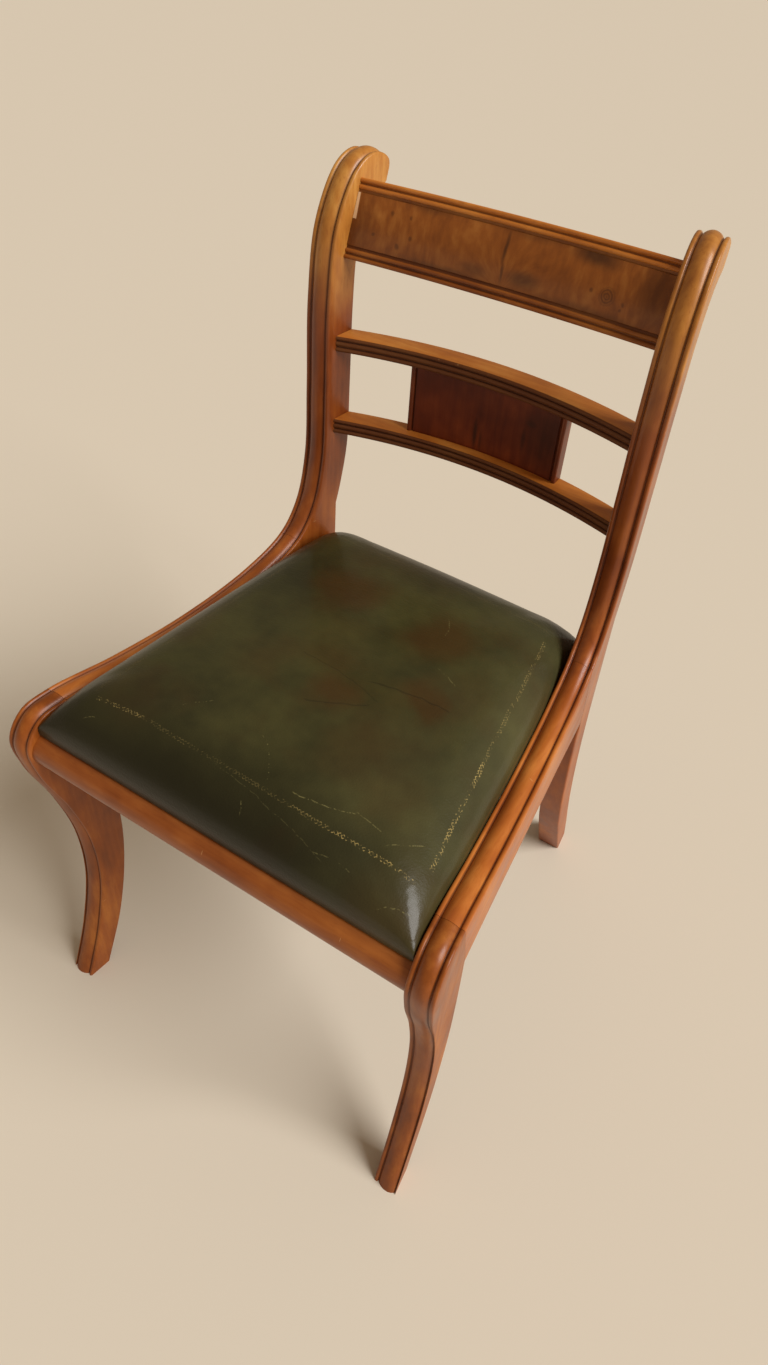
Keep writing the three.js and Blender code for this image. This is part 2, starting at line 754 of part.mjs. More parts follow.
addMesh(chair, "crest_rail", crestRail(), mahogany());
addMesh(chair, "crest_panel", crestPanel(), darkVeneer());
addMesh(chair, "upper_cross_rail", crossRail(upperRailTop), mahogany());
addMesh(chair, "lower_cross_rail", crossRail(lowerRailTop), mahogany());
addMesh(chair, "centre_tablet", centreTablet(), mahogany());
addMesh(chair, "tablet_panel", tabletPanel(), darkVeneer());

const frontRail = joined(railSolid(frontRailSection(), 0, 2), sides.map((side) => frontTenon(side, 0)));
addMesh(chair, "front_seat_rail", cut(frontRail, holesWhere((place) => place.rail === "front")), mahogany());
const rearRail = joined(railSolid(rearRailSection(), 0, 2), sides.map((side) => rearTenon(side, 0)));
addMesh(chair, "rear_seat_rail", cut(rearRail, holesWhere((place) => place.rail === "rear")), mahogany());

for (const side of sides) {
  for (const end of [-1, 1]) {
    const rings = blockRings(side, end);
    const outline = rings[0].map((point) => new THREE.Vector2(point.x, point.y));
    const block = cut(loft(rings, outline), holesWhere((place) => place.block === `${side}${end}`));
    addMesh(chair, `${sideName(side)}_${end < 0 ? "front" : "rear"}_corner_block`, block, plainBeech());
  }
}

for (const place of screwPlaces) {
  const screw = addMesh(chair, place.name, screwShape(0, 0), steel());
  screw.quaternion.copy(screwTurn(place));
  screw.position.copy(place.head);
}

// Drop-in seat. It rests on the seat rails between the side frames.
const seatBottom = seatRailTop + fitGap;
const seatFront = frontRailFace + seatFrontSetBack;
const seatBack = rearRailBack + seatRearOverhang;
const clothTop = seatBottom + clothThickness;
const frameBottom = clothTop + fitGap;
const frameTop = frameBottom + seatFrameHeight;

// The seat's half width at a depth and height, less an inset
const seatHalf = (y, inset) => innerHalfWidth(y, seatHeight + cushionWallHeight) - seatClearance - inset;

// A tapered plate in plan between two depths, with an inset from the seat's sides
function seatPlate(front, back, inset, low, high) {
  const shape = new THREE.Shape([
    new THREE.Vector2(-seatHalf(front, inset), front),
    new THREE.Vector2(seatHalf(front, inset), front),
    new THREE.Vector2(seatHalf(back, inset), back),
    new THREE.Vector2(-seatHalf(back, inset), back),
  ]);
  return extrudedBetween(shape, low, high);
}

const frameInset = leatherThickness + fitGap;
const frameFront = seatFront + frameInset;
const frameBack = seatBack - frameInset;
const openFront = frameFront + seatFrameWidth;
const openBack = frameBack - seatFrameWidth;

addMesh(dropInSeat, "seat_frame_front", seatPlate(frameFront, openFront, frameInset, frameBottom, frameTop), plainBeech());
addMesh(dropInSeat, "seat_frame_back", seatPlate(openBack, frameBack, frameInset, frameBottom, frameTop), plainBeech());

for (const side of sides) {
  const [front, back] = [openFront + fitGap, openBack - fitGap];
  const shape = new THREE.Shape([
    new THREE.Vector2(side * seatHalf(front, frameInset), front),
    new THREE.Vector2(side * seatHalf(back, frameInset), back),
    new THREE.Vector2(side * seatHalf(back, frameInset + seatFrameWidth), back),
    new THREE.Vector2(side * seatHalf(front, frameInset + seatFrameWidth), front),
  ]);
  const rail = extrudedBetween(shape, frameBottom, frameTop);
  addMesh(dropInSeat, `seat_frame_${sideName(side)}`, rail, plainBeech());
}

addMesh(dropInSeat, "bottom_cloth", seatPlate(frameFront, frameBack, frameInset, seatBottom, clothTop), blackCloth());

// Webbing straps on the frame: those from front to back lie under those from side to side
const longStrapBottom = frameTop + fitGap;
const crossStrapBottom = longStrapBottom + webbingThickness + fitGap;
const strapEnd = seatFrameWidth / 5;
const strapSpan = webbingWidth * 1.5;

for (let strap = 0; strap < strapCount; strap += 1) {
  const middle = (strap - (strapCount - 1) / 2) * strapSpan;
  const long = boxBetween(
    new THREE.Vector3(middle - webbingWidth / 2, frameFront + strapEnd, longStrapBottom),
    new THREE.Vector3(middle + webbingWidth / 2, frameBack - strapEnd, longStrapBottom + webbingThickness));
  addMesh(dropInSeat, `long_strap_${strap + 1}`, long, jute());

  const centre = (seatFront + seatBack) / 2 + middle;
  const [front, back] = [centre - webbingWidth / 2, centre + webbingWidth / 2];
  const crossing = seatPlate(front, back, frameInset + strapEnd, crossStrapBottom, crossStrapBottom + webbingThickness);
  addMesh(dropInSeat, `cross_strap_${strap + 1}`, crossing, jute());
}

// The leather cushion: low sides drawn in at the foot, a broad rounded edge and a slight crown, hollow below
const cushionFloor = crossStrapBottom + webbingThickness + fitGap;
const cushionWallTop = seatBottom + cushionWallHeight;

function cushionPoint(across, along, inset, z) {
  const y = THREE.MathUtils.lerp(seatFront + inset, seatBack - inset, (along + 1) / 2);
  return new THREE.Vector3(across * (seatHalf(y, 0) - inset), y, z);
}

// Height of the leather over the wall: an elliptic round along the edge, and the crown over all
function cushionRise(across, along) {
  const halfSpan = (seatBack - seatFront) / 2;
  const reach = (share) => Math.min(1, ((1 - Math.abs(share)) * halfSpan) / cushionEdgeRound);
  const roundOf = (share) => Math.sqrt(1 - (1 - reach(share)) ** 2);
  const crown = cushionCrown * (1 - across * across) * (1 - along * along);
  return cushionEdgeRise * roundOf(across) * roundOf(along) + crown;
}

// Places of the grid lines, closer together at the edge
function gridPlace(step) {
  const share = (2 * step) / cushionSteps - 1;
  return Math.sin((share * Math.PI) / 2);
}

function cushionGeometry() {
  const places = Array.from({ length: cushionSteps + 1 }, (_, step) => gridPlace(step));
  const points = [];
  const faces = [];
  const topIndex = (row, column) => row * (cushionSteps + 1) + column;
  for (const along of places) {
    for (const across of places) {
      points.push(cushionPoint(across, along, 0, cushionWallTop + cushionRise(across, along)));
    }
  }
  for (let row = 0; row < cushionSteps; row += 1) {
    for (let column = 0; column < cushionSteps; column += 1) {
      faces.push(topIndex(row, column), topIndex(row, column + 1), topIndex(row + 1, column + 1));
      faces.push(topIndex(row, column), topIndex(row + 1, column + 1), topIndex(row + 1, column));
    }
  }
  const rim = [];
  for (let step = 0; step < cushionSteps; step += 1) rim.push([0, step]);
  for (let step = 0; step < cushionSteps; step += 1) rim.push([step, cushionSteps]);
  for (let step = cushionSteps; step > 0; step -= 1) rim.push([cushionSteps, step]);
  for (let step = cushionSteps; step > 0; step -= 1) rim.push([step, 0]);
  const footStart = points.length;
  for (const [row, column] of rim) {
    points.push(cushionPoint(places[column], places[row], cushionDrawIn, seatBottom));
  }
  const middle = points.length;
  points.push(new THREE.Vector3(0, (seatFront + seatBack) / 2, seatBottom));
  for (let index = 0; index < rim.length; index += 1) {
    const next = (index + 1) % rim.length;
    const [here, beside] = [topIndex(...rim[index]), topIndex(...rim[next])];
    faces.push(footStart + index, footStart + next, beside);
    faces.push(footStart + index, beside, here);
    faces.push(footStart + next, footStart + index, middle);
  }
  const geometry = new THREE.BufferGeometry();
  geometry.setAttribute("position", new THREE.Float32BufferAttribute(points.flatMap((p) => [p.x, p.y, p.z]), 3));
  geometry.setIndex(faces);
  return geometry;
}

const cavityInset = leatherThickness;
const cavity = seatPlate(seatFront + cavityInset, seatBack - cavityInset, cavityInset, seatBottom - cutOverrun, cushionFloor);
addMesh(dropInSeat, "seat_cushion", cut(cushionGeometry(), [cavity]), greenLeather());

export default chair;
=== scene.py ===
"""A bar back dining chair with sabre legs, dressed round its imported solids.

Lengths in the tables are millimetres, +Z up, the chair faces -Y. Depth shares run from the toe to the
heel, leg shares from the floor to the seat height, back shares from the seat height to the top.
"""
import functools
import math

import bpy
import numpy as np
from mathutils import Matrix, Vector


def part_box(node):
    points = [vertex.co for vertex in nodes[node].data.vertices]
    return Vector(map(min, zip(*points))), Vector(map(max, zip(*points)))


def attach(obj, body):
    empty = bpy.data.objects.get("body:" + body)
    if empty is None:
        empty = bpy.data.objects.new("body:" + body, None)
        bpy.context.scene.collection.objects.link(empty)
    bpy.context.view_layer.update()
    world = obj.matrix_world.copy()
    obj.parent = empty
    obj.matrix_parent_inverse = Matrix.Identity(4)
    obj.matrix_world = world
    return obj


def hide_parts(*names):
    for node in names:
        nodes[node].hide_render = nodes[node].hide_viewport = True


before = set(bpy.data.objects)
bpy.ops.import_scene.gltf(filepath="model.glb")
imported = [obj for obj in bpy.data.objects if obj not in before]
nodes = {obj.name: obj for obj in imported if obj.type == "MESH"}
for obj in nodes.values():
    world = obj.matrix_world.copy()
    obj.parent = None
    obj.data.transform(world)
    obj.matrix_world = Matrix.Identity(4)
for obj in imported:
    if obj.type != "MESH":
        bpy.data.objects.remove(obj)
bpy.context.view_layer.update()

MM = 0.001
join = np.concatenate

# Overall sizes and the side frames
CHAIR_HEIGHT, CHAIR_DEPTH, SEAT_HEIGHT = 850.6, 555.0, 446.0
FRONT_WIDTH, BACK_WIDTH, REAR_LEAN, BACK_LEAN = 478.2, 387.4, 6.5, 4.3
SIDE_THICKNESS, EDGE_BEAD, GROOVE, GROOVE_DEPTH, CROWN_RISE = 28.0, 4.2, 2.0, 0.7, 2.5
TOE_TAPER, LEG_GROOVE_SHIFT, REAR_FOOT_SPREAD = 0.8, 3.3, 2.8
KNEE_SHARE, BACK_SHARE, LEAN_SHARES = 0.0252, 0.773, (0.583, 0.764)
SPREAD_SHARE, SHIFT_SHARES, TAPER_SHARE = 0.5, (0.6, 0.85), 0.3
JOINT_GAP, FIT_GAP, ARRIS, ARRIS_SHARE, BEAD_DROP, CROWN_START = 0.3, 0.3, 2.2, 0.3, 1.6, 0.9
GROOVE_SHADE, SIDE_SHADE_DEPTHS, CREST_SHADE_DEPTHS = 0.7, (0.8, 1.8), (0.9, 2.1)
POST_END_DROP, POST_END_BLEND, SQUARE_LENGTH = 7.2, 0.1, 25
SPAN_STEPS, JOINT_TURN = 14, 21

# Rails, tablet and seat
CREST_BOTTOM, CREST_HEIGHT, CREST_THICKNESS = CHAIR_HEIGHT - 87.4, 70.8, 18.0
CREST_TILT, CREST_SET_BACK, CREST_BOW = math.radians(18), 14.4, 5.5
CREST_EDGE_BEAD, CREST_EDGE_GROOVE, CREST_BEAD, CREST_PANEL_GROOVE = 3.7, 1.9, 4.0, 2.7
CREST_EDGE_RISE, CREST_BEAD_RISE, CREST_BEAD_FOOT, CREST_RECESS, CREST_BACK_ROUND = 1.5, 1.7, 1.9, 2.2, 18.0
GROOVE_FALL, CREST_FOOT_FLAT, VENEER, PANEL_ARRIS, BACK_ARRIS = 0.3, 0.5, 1.2, 0.25, 0.8
CREST_BACK_STEPS, CREST_STEPS, CROSS_RAIL_STEPS, FRONT_RAIL_STEPS = 14, 64, 72, 48
UPPER_RAIL_TOP = SEAT_HEIGHT + 0.5973 * (CHAIR_HEIGHT - SEAT_HEIGHT)
CROSS_RAIL_HEIGHT, CROSS_RAIL_DEPTH, CROSS_RAIL_SET_BACK = 16.5, 26.0, 11.0
CROSS_RAIL_BOW, REED_DEPTH, REEDS = 27.0, 1.9, [(0.3, 4.2), (5.2, 10.5), (11.5, 16.3)]
# Darkening of the cross rails' reeded fronts: gathered polish and painted shade, with the reed tops painted a
# little lighter.
REED_POLISH_AND_SHADE, REED_TOP_PAINTED_LIGHT, REED_SHADE_RISE, REED_TOP_FLAT = 1.2, 0.16, 1.4, 0.6
LOWER_RAIL_TOP = UPPER_RAIL_TOP - CROSS_RAIL_HEIGHT - 76.0
TABLET_WIDTH, TABLET_THICKNESS, TABLET_BEAD, TABLET_GROOVE = 176.0, 15.0, 5.0, 1.8
TABLET_BEAD_RISE, TABLET_GROOVE_DEPTH, TABLET_END_DROP = 2.2, 0.5, 2.6
TABLET_STEPS, TABLET_LEVELS, TABLET_SHADES = 41, 7, [0.4, 0.7, 0.7, 0.6, 0.2]
SEAT_RAIL_TOP, FRONT_RAIL_HEIGHT, FRONT_RAIL_THICKNESS, FRONT_RAIL_SET_BACK = 424.5, 39.0, 33.0, 3.0

POST_ROWS = [
    (0.9235, 0.929, 0.9145, 0.917), (0.9275, 0.97, 0.8995, 0.909), (0.8925, 0.993, 0.8835, 0.892),
    (0.8475, 0.97, 0.8665, 0.857), (0.7985, 0.86, 0.8525, 0.792), (0.7805, 0.687, 0.8465, 0.665),
    (0.7785, 0.454, 0.8465, 0.446), (0.774, 0.256, 0.845, 0.271), (0.748, 0.12, 0.829, 0.158),
    (0.701, 0.042, 0.816, 0.096),
]
SIDE_RAIL_ROWS = [
    (0.701, 1.038, 0.733, 0.825), (0.602, 0.993, 0.611, 0.8185), (0.431, 0.97, 0.431, 0.8185),
    (0.259, 0.978, 0.263, 0.8185), (0.1155, 0.999, 0.157, 0.812),
]
FRONT_LEG_ROWS = [
    (0.1155, 0.999, 0.157, 0.812), (0.0595, 0.989, 0.1585, 0.789), (0.0245, 0.933, 0.1605, 0.765),
    (0.0305, 0.839, 0.163, 0.7175), (0.0685, 0.679, 0.166, 0.6165), (0.092, 0.52, 0.165, 0.493),
    (0.0893, 0.3475, 0.1496, 0.3475), (0.054, 0.164, 0.1136, 0.173), (0.0045, 0, 0.0575, 0),
]
REAR_LEG_ROWS = [
    (0.733, 0.825, 0.818, 0.825), (0.735, 0.74, 0.8215, 0.74), (0.762, 0.545, 0.843, 0.556),
    (0.818, 0.316, 0.8955, 0.3275), (0.901, 0.101, 0.9675, 0.1075), (0.9405, 0, 1, 0),
]


def new_object(name, data):
    piece = bpy.data.objects.new(name, data)
    bpy.context.scene.collection.objects.link(piece)
    return piece


# Camera, at the photograph's angle
CAMERA_PLACE, CAMERA_ANGLES = (0.3612, -0.59545, 1.0928), (29.8, 43.98, 4.34)
LENS_DISTANCE, LENS_SPAN, SENSOR_HEIGHT = 927.3, 1365, 36


def make_camera():
    """Yaw, pitch and roll are in degrees. The lens spans 1365 steps at 927.3 steps of distance."""
    yaw, pitch, roll = (math.radians(angle) for angle in CAMERA_ANGLES)
    tilt = Matrix.Rotation(math.pi / 2 - pitch, 4, "X") @ Matrix.Rotation(roll, 4, "Z")
    data = bpy.data.cameras.new("camera")
    data.sensor_fit = "VERTICAL"
    data.sensor_height = SENSOR_HEIGHT
    data.lens = LENS_DISTANCE / LENS_SPAN * SENSOR_HEIGHT
    data.clip_start, data.clip_end = 0.02, 50
    camera = new_object("camera", data)
    camera.matrix_world = Matrix.Translation(CAMERA_PLACE) @ Matrix.Rotation(yaw, 4, "Z") @ tilt
    bpy.context.scene.camera = camera


make_camera()


# Shapes
def at_depth(share):
    """Distance behind the middle of the chair's depth."""
    return (np.asarray(share) - 0.5) * CHAIR_DEPTH


def at_leg(share):
    return np.asarray(share) * SEAT_HEIGHT


def at_back(share):
    return SEAT_HEIGHT + np.asarray(share) * (CHAIR_HEIGHT - SEAT_HEIGHT)


def smooth_rise(value, low, high):
    """A smooth step, 0 below low and 1 above high."""
    share = np.clip((value - low) / (high - low), 0, 1)
    return share * share * (3 - 2 * share)


def side_half_width(y, z):
    """Half of the width over the side frames: it narrows evenly to the back, and leans in above the seat."""
    knee, back = at_depth(KNEE_SHARE), at_depth(BACK_SHARE)
    plain = FRONT_WIDTH / 2 + (BACK_WIDTH - FRONT_WIDTH) / 2 * (y - knee) / (back - knee)
    bend = smooth_rise(y, *at_depth(LEAN_SHARES))
    lean = np.where(z < SEAT_HEIGHT, REAR_LEAN, BACK_LEAN)
    return plain + lean * bend * (SEAT_HEIGHT - z) / SEAT_HEIGHT


def inner_half_width(y, z):
    return side_half_width(y, z) - SIDE_THICKNESS


def place_across(place, y, z):
    """Place in from the outer face: the outer groove runs out down the front leg and the rear foot spreads."""
    inner_share = np.maximum(0, 2 * place / SIDE_THICKNESS - 1)
    spread = inner_share * REAR_FOOT_SPREAD * (1 - smooth_rise(z, 0, at_leg(SPREAD_SHARE)))
    groove_end = EDGE_BEAD + GROOVE
    crown_share = (SIDE_THICKNESS - groove_end - place) / (SIDE_THICKNESS - 2 * groove_end)
    shift_share = np.clip(np.minimum(place / EDGE_BEAD, crown_share), 0, 1)
    shift = shift_share * LEG_GROOVE_SHIFT * (1 - smooth_rise(z, *at_leg(SHIFT_SHARES)))
    taper = np.maximum(0, 1 - place / EDGE_BEAD) * TOE_TAPER * (1 - smooth_rise(z, 0, at_leg(TAPER_SHARE)))
    return place + np.where(y > 0, spread, taper - shift)


def spline(points):
    """A centripetal Catmull-Rom curve through the points, with SPAN_STEPS steps to each span."""
    points = np.asarray(points, float)
    ends = [2 * points[:1] - points[1:2], points, 2 * points[-1:] - points[-2:-1]]
    padded = join(ends)
    p0, p1, p2, p3 = padded[:-3], padded[1:-2], padded[2:-1], padded[3:]
    d0, d1, d2 = (np.linalg.norm(b - a, axis=1)[:, None] ** 0.5 for a, b in ((p0, p1), (p1, p2), (p2, p3)))
    out = d1 * ((p1 - p0) / d0 - (p2 - p0) / (d0 + d1) + (p2 - p1) / d1)
    into = d1 * ((p2 - p1) / d1 - (p3 - p1) / (d1 + d2) + (p3 - p2) / d2)
    t = (np.arange(SPAN_STEPS) / SPAN_STEPS)[None, :, None]
    p1, p2, out, into = (value[:, None] for value in (p1, p2, out, into))
    curve = p1 + out * t + (3 * (p2 - p1) - 2 * out - into) * t**2 + (2 * (p1 - p2) + out + into) * t**3
    return join([curve.reshape(-1, points.shape[1]), points[-1:]])


def rows_to_points(rows, first, to_height):
    """Depth and height of one edge: two columns of a table of shares."""
    rows = np.asarray(rows)
    return np.stack([at_depth(rows[:, first]), to_height(rows[:, first + 1])], 1)


moulded_edge = spline(join([
    rows_to_points(POST_ROWS, 0, at_back),
    rows_to_points(SIDE_RAIL_ROWS, 0, at_leg)[1:],
    rows_to_points(FRONT_LEG_ROWS, 0, at_leg)[1:],
]))
post_end = (len(POST_ROWS) - 1) * SPAN_STEPS
rail_end = post_end + (len(SIDE_RAIL_ROWS) - 1) * SPAN_STEPS
post_front = moulded_edge[:post_end + 1]
rail_top = moulded_edge[post_end:rail_end + 1]
leg_front = moulded_edge[rail_end:]
post_back = spline(rows_to_points(POST_ROWS, 2, at_back))
rail_bottom = spline(rows_to_points(SIDE_RAIL_ROWS, 2, at_leg))
leg_back = spline(rows_to_points(FRONT_LEG_ROWS, 2, at_leg))
rear_leg_front = spline(rows_to_points(REAR_LEG_ROWS, 0, at_leg))
rear_leg_back = spline(rows_to_points(REAR_LEG_ROWS, 2, at_leg))


def post_front_at(height):
    """Depth of the post's front edge at a height below the scroll."""
    below_scroll = post_front[3 * SPAN_STEPS:]
    return float(np.interp(-height, -below_scroll[:, 1], below_scroll[:, 0]))


def skin(name, grid, angle=38, **attributes):
    """Closed surface through a grid of closed rings, in millimetres, with one face over each end."""
    rings, count, _ = grid.shape
    points = grid.reshape(-1, 3) * MM
    ring, point = np.meshgrid(np.arange(rings - 1) * count, np.arange(count), indexing="ij")
    beside = (point + 1) % count
    corners = [ring + point, ring + beside, ring + count + beside, ring + count + point]
    quads = np.stack(corners, -1).reshape(-1, 4)
    a, b, c, d = (points[quads[:, index]] for index in range(4))
    volume = np.einsum("ij,ij->", a, np.cross(b, c) + np.cross(c, d))
    start, end = np.arange(count)[::-1], (rings - 1) * count + np.arange(count)
    for cap in (start, end):
        fan = np.stack([np.full(count - 2, cap[0]), cap[1:-1], cap[2:]], 1)
        volume += np.einsum("ij,ij->", points[fan[:, 0]], np.cross(points[fan[:, 1]], points[fan[:, 2]]))
    faces = quads.tolist() + [start.tolist(), end.tolist()]
    if volume < 0:
        faces = [face[::-1] for face in faces]
    return finished_mesh(name, points, faces, "chair_frame", angle, **attributes)


def finished_mesh(name, points, faces, body, angle, **attributes):
    """A smooth mesh, sharp at edges over the angle in degrees. Attributes give each point a value."""
    mesh = bpy.data.meshes.new(name)
    mesh.from_pydata(points.tolist(), [], faces)
    for attribute, values in attributes.items():
        layer = mesh.attributes.new(attribute, "FLOAT", "POINT")
        layer.data.foreach_set("value", np.asarray(values, np.float32).ravel())
    mesh.shade_smooth()
    mesh.set_sharp_from_angle(angle=math.radians(angle))
    piece = new_object(name, mesh)
    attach(piece, body)
    return piece


def moulding_profile():
    """Across the front edge: a half round bead, a shallow groove, a wide arc of a circle, a groove and a bead.

    Returns place, depth, and how deep in a groove each point lies, from 0 to 1.
    """
    step = np.linspace(0, 1, 9)
    bead = BEAD_DROP * (1 - np.sqrt(np.clip(1 - (2 * step - 1) ** 2, 0, 1)))
    groove_step = np.linspace(0, 1, 7)[1:-1]
    groove = BEAD_DROP + (CROWN_START - BEAD_DROP) * groove_step + GROOVE_DEPTH * np.sin(np.pi * groove_step)
    groove_end = EDGE_BEAD + GROOVE
    crown_step = (1 - np.cos(np.linspace(0, np.pi, 19))) / 2
    half_crown, height = SIDE_THICKNESS / 2 - groove_end, CROWN_START + CROWN_RISE
    radius = (half_crown**2 + height**2) / (2 * height)
    crown = radius - CROWN_RISE - np.sqrt(radius**2 - ((2 * crown_step - 1) * half_crown) ** 2)
    crown_place = groove_end + (SIDE_THICKNESS - 2 * groove_end) * crown_step
    place = join([EDGE_BEAD * step, EDGE_BEAD + GROOVE * groove_step, crown_place])
    depth = join([bead, groove, crown])
    half = len(place)
    dark = GROOVE_SHADE * smooth_rise(depth, *SIDE_SHADE_DEPTHS)
    dark[:len(step)] *= smooth_rise(step, 0.6, 1)
    mirrored = slice(half - len(crown_step) - 1, None, -1)
    place = join([place, SIDE_THICKNESS - place[mirrored]])
    return place, join([depth, depth[mirrored]]), join([dark, dark[mirrored]])


FRONT_PLACE, FRONT_DROP, FRONT_DARK = moulding_profile()
BACK_TURN = np.linspace(0, np.pi / 2, 5)


def moulding_facing(inward, moulded, edge_start):
    """Way the moulding drops: front to back, turned to the edge's own normal where post and side rail meet."""
    edge_index = edge_start + np.arange(len(inward))
    run = np.gradient(moulded_edge, axis=0)[edge_index]
    normal = np.stack([-run[:, 1], run[:, 0]], 1) / np.linalg.norm(run, axis=1)[:, None]
    near = moulded * (1 - smooth_rise(np.abs(edge_index - post_end), 0, JOINT_TURN))
    facing = inward + (normal - inward) * near[:, None]
    return facing / np.linalg.norm(facing, axis=1)[:, None]


def side_rings(fronts, backs, moulded, square, edge_start):
    """Rings across a side frame. Moulded is 1 with the moulding and 0 with a plain rounded edge.

    Square is 1 where the plain edge keeps sharp corners. The back's corners are quarter rounds.
    """
    inward = backs - fronts
    length = np.linalg.norm(inward, axis=1)[:, None]
    inward = inward / length
    facing = moulding_facing(inward, moulded, edge_start)
    round_drop = ARRIS * (1 - np.sqrt(np.clip(1 - (1 - np.minimum(
        np.minimum(FRONT_PLACE, SIDE_THICKNESS - FRONT_PLACE) / ARRIS, 1)) ** 2, 0, 1)))
    front_drop = moulded[:, None] * FRONT_DROP + ((1 - moulded) * (1 - square))[:, None] * round_drop
    side_share = np.array([0.25, 0.5, 0.75])
    radius = np.minimum(ARRIS, length * ARRIS_SHARE)
    inner_side = side_share * (length - radius)
    inner_turn = length - radius + radius * np.sin(BACK_TURN)
    place_in_turn = radius * (1 - np.cos(BACK_TURN))
    across = join([
        np.broadcast_to(FRONT_PLACE, front_drop.shape),
        np.full(inner_side.shape, SIDE_THICKNESS), SIDE_THICKNESS - place_in_turn,
        place_in_turn[:, ::-1], np.zeros(inner_side.shape),
    ], 1)
    drop = join([inner_side, inner_turn, inner_turn[:, ::-1], inner_side[:, ::-1]], 1)
    y = fronts[:, :1] + join([front_drop * facing[:, :1], drop * inward[:, :1]], 1)
    z = fronts[:, 1:] + join([front_drop * facing[:, 1:], drop * inward[:, 1:]], 1)
    plain = np.zeros((len(fronts), across.shape[1] - len(FRONT_DARK)))
    dark = join([moulded[:, None] * FRONT_DARK, plain], 1)
    return across, y, z, dark


def side_piece(name, side, fronts, backs, edge_start, moulded=None, square=None):
    """The rings of a side frame's part, each point moved out to the frame's own lean and taper."""
    count = len(fronts)
    moulded = np.ones(count) if moulded is None else moulded
    square = np.zeros(count) if square is None else square
    across, y, z, dark = side_rings(fronts, backs, moulded, square, edge_start)
    x = side * (side_half_width(y, z) - place_across(across, y, z))
    return skin(name, np.stack([x, y, z], -1), groove=dark)


def shifted(line, distance_start, distance_end):
    """The line with its two ends moved along the depth."""
    moved = line.copy()
    moved[0, 0] += distance_start
    moved[-1, 0] += distance_end
    return moved


def back_post(side, name):
    """Scroll and post with the moulding, then the rear leg with plain rounded edges below the side rail."""
    down = rail_bottom[0] - rail_top[0]
    down = down / np.linalg.norm(down)
    behind = post_back[-1] * (1 - POST_END_BLEND) + rear_leg_back[0] * POST_END_BLEND
    fronts = join([post_front, [rail_top[0] + POST_END_DROP * down], rear_leg_front])
    backs = join([post_back, [behind], rear_leg_back])
    moulded = (np.arange(len(fronts)) < len(post_front)).astype(float)
    square = 1 - smooth_rise(rail_bottom[0, 1] - fronts[:, 1], 0, SQUARE_LENGTH)
    return side_piece(name, side, fronts, backs, 0, moulded, square)


def rail_grid(section, bow, end_gap, steps):
    """A section carried from side to side between the inner faces, bowed back by 1 minus share squared."""
    share = np.linspace(-1, 1, steps + 1)[:, None]
    y, z = section[None, :, 0], section[None, :, 1]
    x = share * (inner_half_width(y, z) - end_gap)
    return np.stack([x, y + bow * (1 - share**2), np.broadcast_to(z, x.shape)], -1)


def half_round(start, end, rise, count=9):
    """Points over a bead from start to end: an ellipse arc that stands rise proud in the middle."""
    turn = np.linspace(0, np.pi, count)
    return start + (end - start) * (1 - np.cos(turn)) / 2, rise * np.sin(turn)


crest_foot = post_front_at(CREST_BOTTOM) + CREST_SET_BACK


def crest_to_section(up, inward):
    """Distance up the tilted face and in from it, turned to depth and height."""
    y = crest_foot + up * math.sin(CREST_TILT) + inward * math.cos(CREST_TILT)
    return np.stack([y, CREST_BOTTOM + up * math.cos(CREST_TILT) - inward * math.sin(CREST_TILT)], -1)


def crest_rail(name):
    """Two beads and grooves along each edge of the face, and a back that falls away as a parabola."""
    bead_bottom = CREST_EDGE_BEAD + CREST_EDGE_GROOVE
    bead_top = bead_bottom + CREST_BEAD
    edge_up, edge_rise = half_round(0, CREST_EDGE_BEAD, CREST_EDGE_RISE)
    bead_up, bead_rise = half_round(bead_bottom, bead_top, CREST_BEAD_RISE)
    middle_groove = (CREST_EDGE_BEAD + bead_bottom) / 2
    up = join([edge_up, [middle_groove], bead_up, [bead_top + CREST_PANEL_GROOVE * GROOVE_FALL]])
    inward = join([CREST_EDGE_RISE - edge_rise, [CREST_RECESS], CREST_BEAD_FOOT - bead_rise, [CREST_RECESS]])
    dark = GROOVE_SHADE * smooth_rise(inward, *CREST_SHADE_DEPTHS)
    dark[:2] = 0
    share = np.linspace(0, 1, CREST_BACK_STEPS)[1:]
    back_up = CREST_HEIGHT - CREST_BACK_ROUND * share**2
    back_in = CREST_EDGE_RISE + (CREST_THICKNESS - CREST_EDGE_RISE) * share
    up = join([up, CREST_HEIGHT - up[::-1], back_up, [ARRIS, CREST_FOOT_FLAT]])
    inward = join([inward, inward[::-1], back_in, [CREST_THICKNESS, CREST_THICKNESS - ARRIS]])
    dark = join([dark, dark[::-1], np.zeros(len(up) - 2 * len(dark))])
    grid = rail_grid(crest_to_section(up, inward), CREST_BOW, FIT_GAP / 2, CREST_STEPS)
    return skin(name, grid, groove=np.broadcast_to(dark, grid.shape[:2]))


def crest_panel(name):
    """A thin veneered panel that follows the crest rail's bow."""
    bottom = CREST_EDGE_BEAD + CREST_EDGE_GROOVE + CREST_BEAD + CREST_PANEL_GROOVE
    back = CREST_RECESS - FIT_GAP / 2
    front = back - VENEER
    top = CREST_HEIGHT - bottom
    up = np.array([bottom + PANEL_ARRIS, bottom, bottom, top, top, top - PANEL_ARRIS])
    inward = np.array([front, front + PANEL_ARRIS, back, back, front + PANEL_ARRIS, front])
    grid = rail_grid(crest_to_section(up, inward), CREST_BOW, FIT_GAP, CREST_STEPS)
    return skin(name, grid, angle=60)


def cross_rail_front(top):
    """A cross rail's face is set back from the posts' front edge at the rail's own height."""
    return post_front_at(top - CROSS_RAIL_HEIGHT / 2) + CROSS_RAIL_SET_BACK


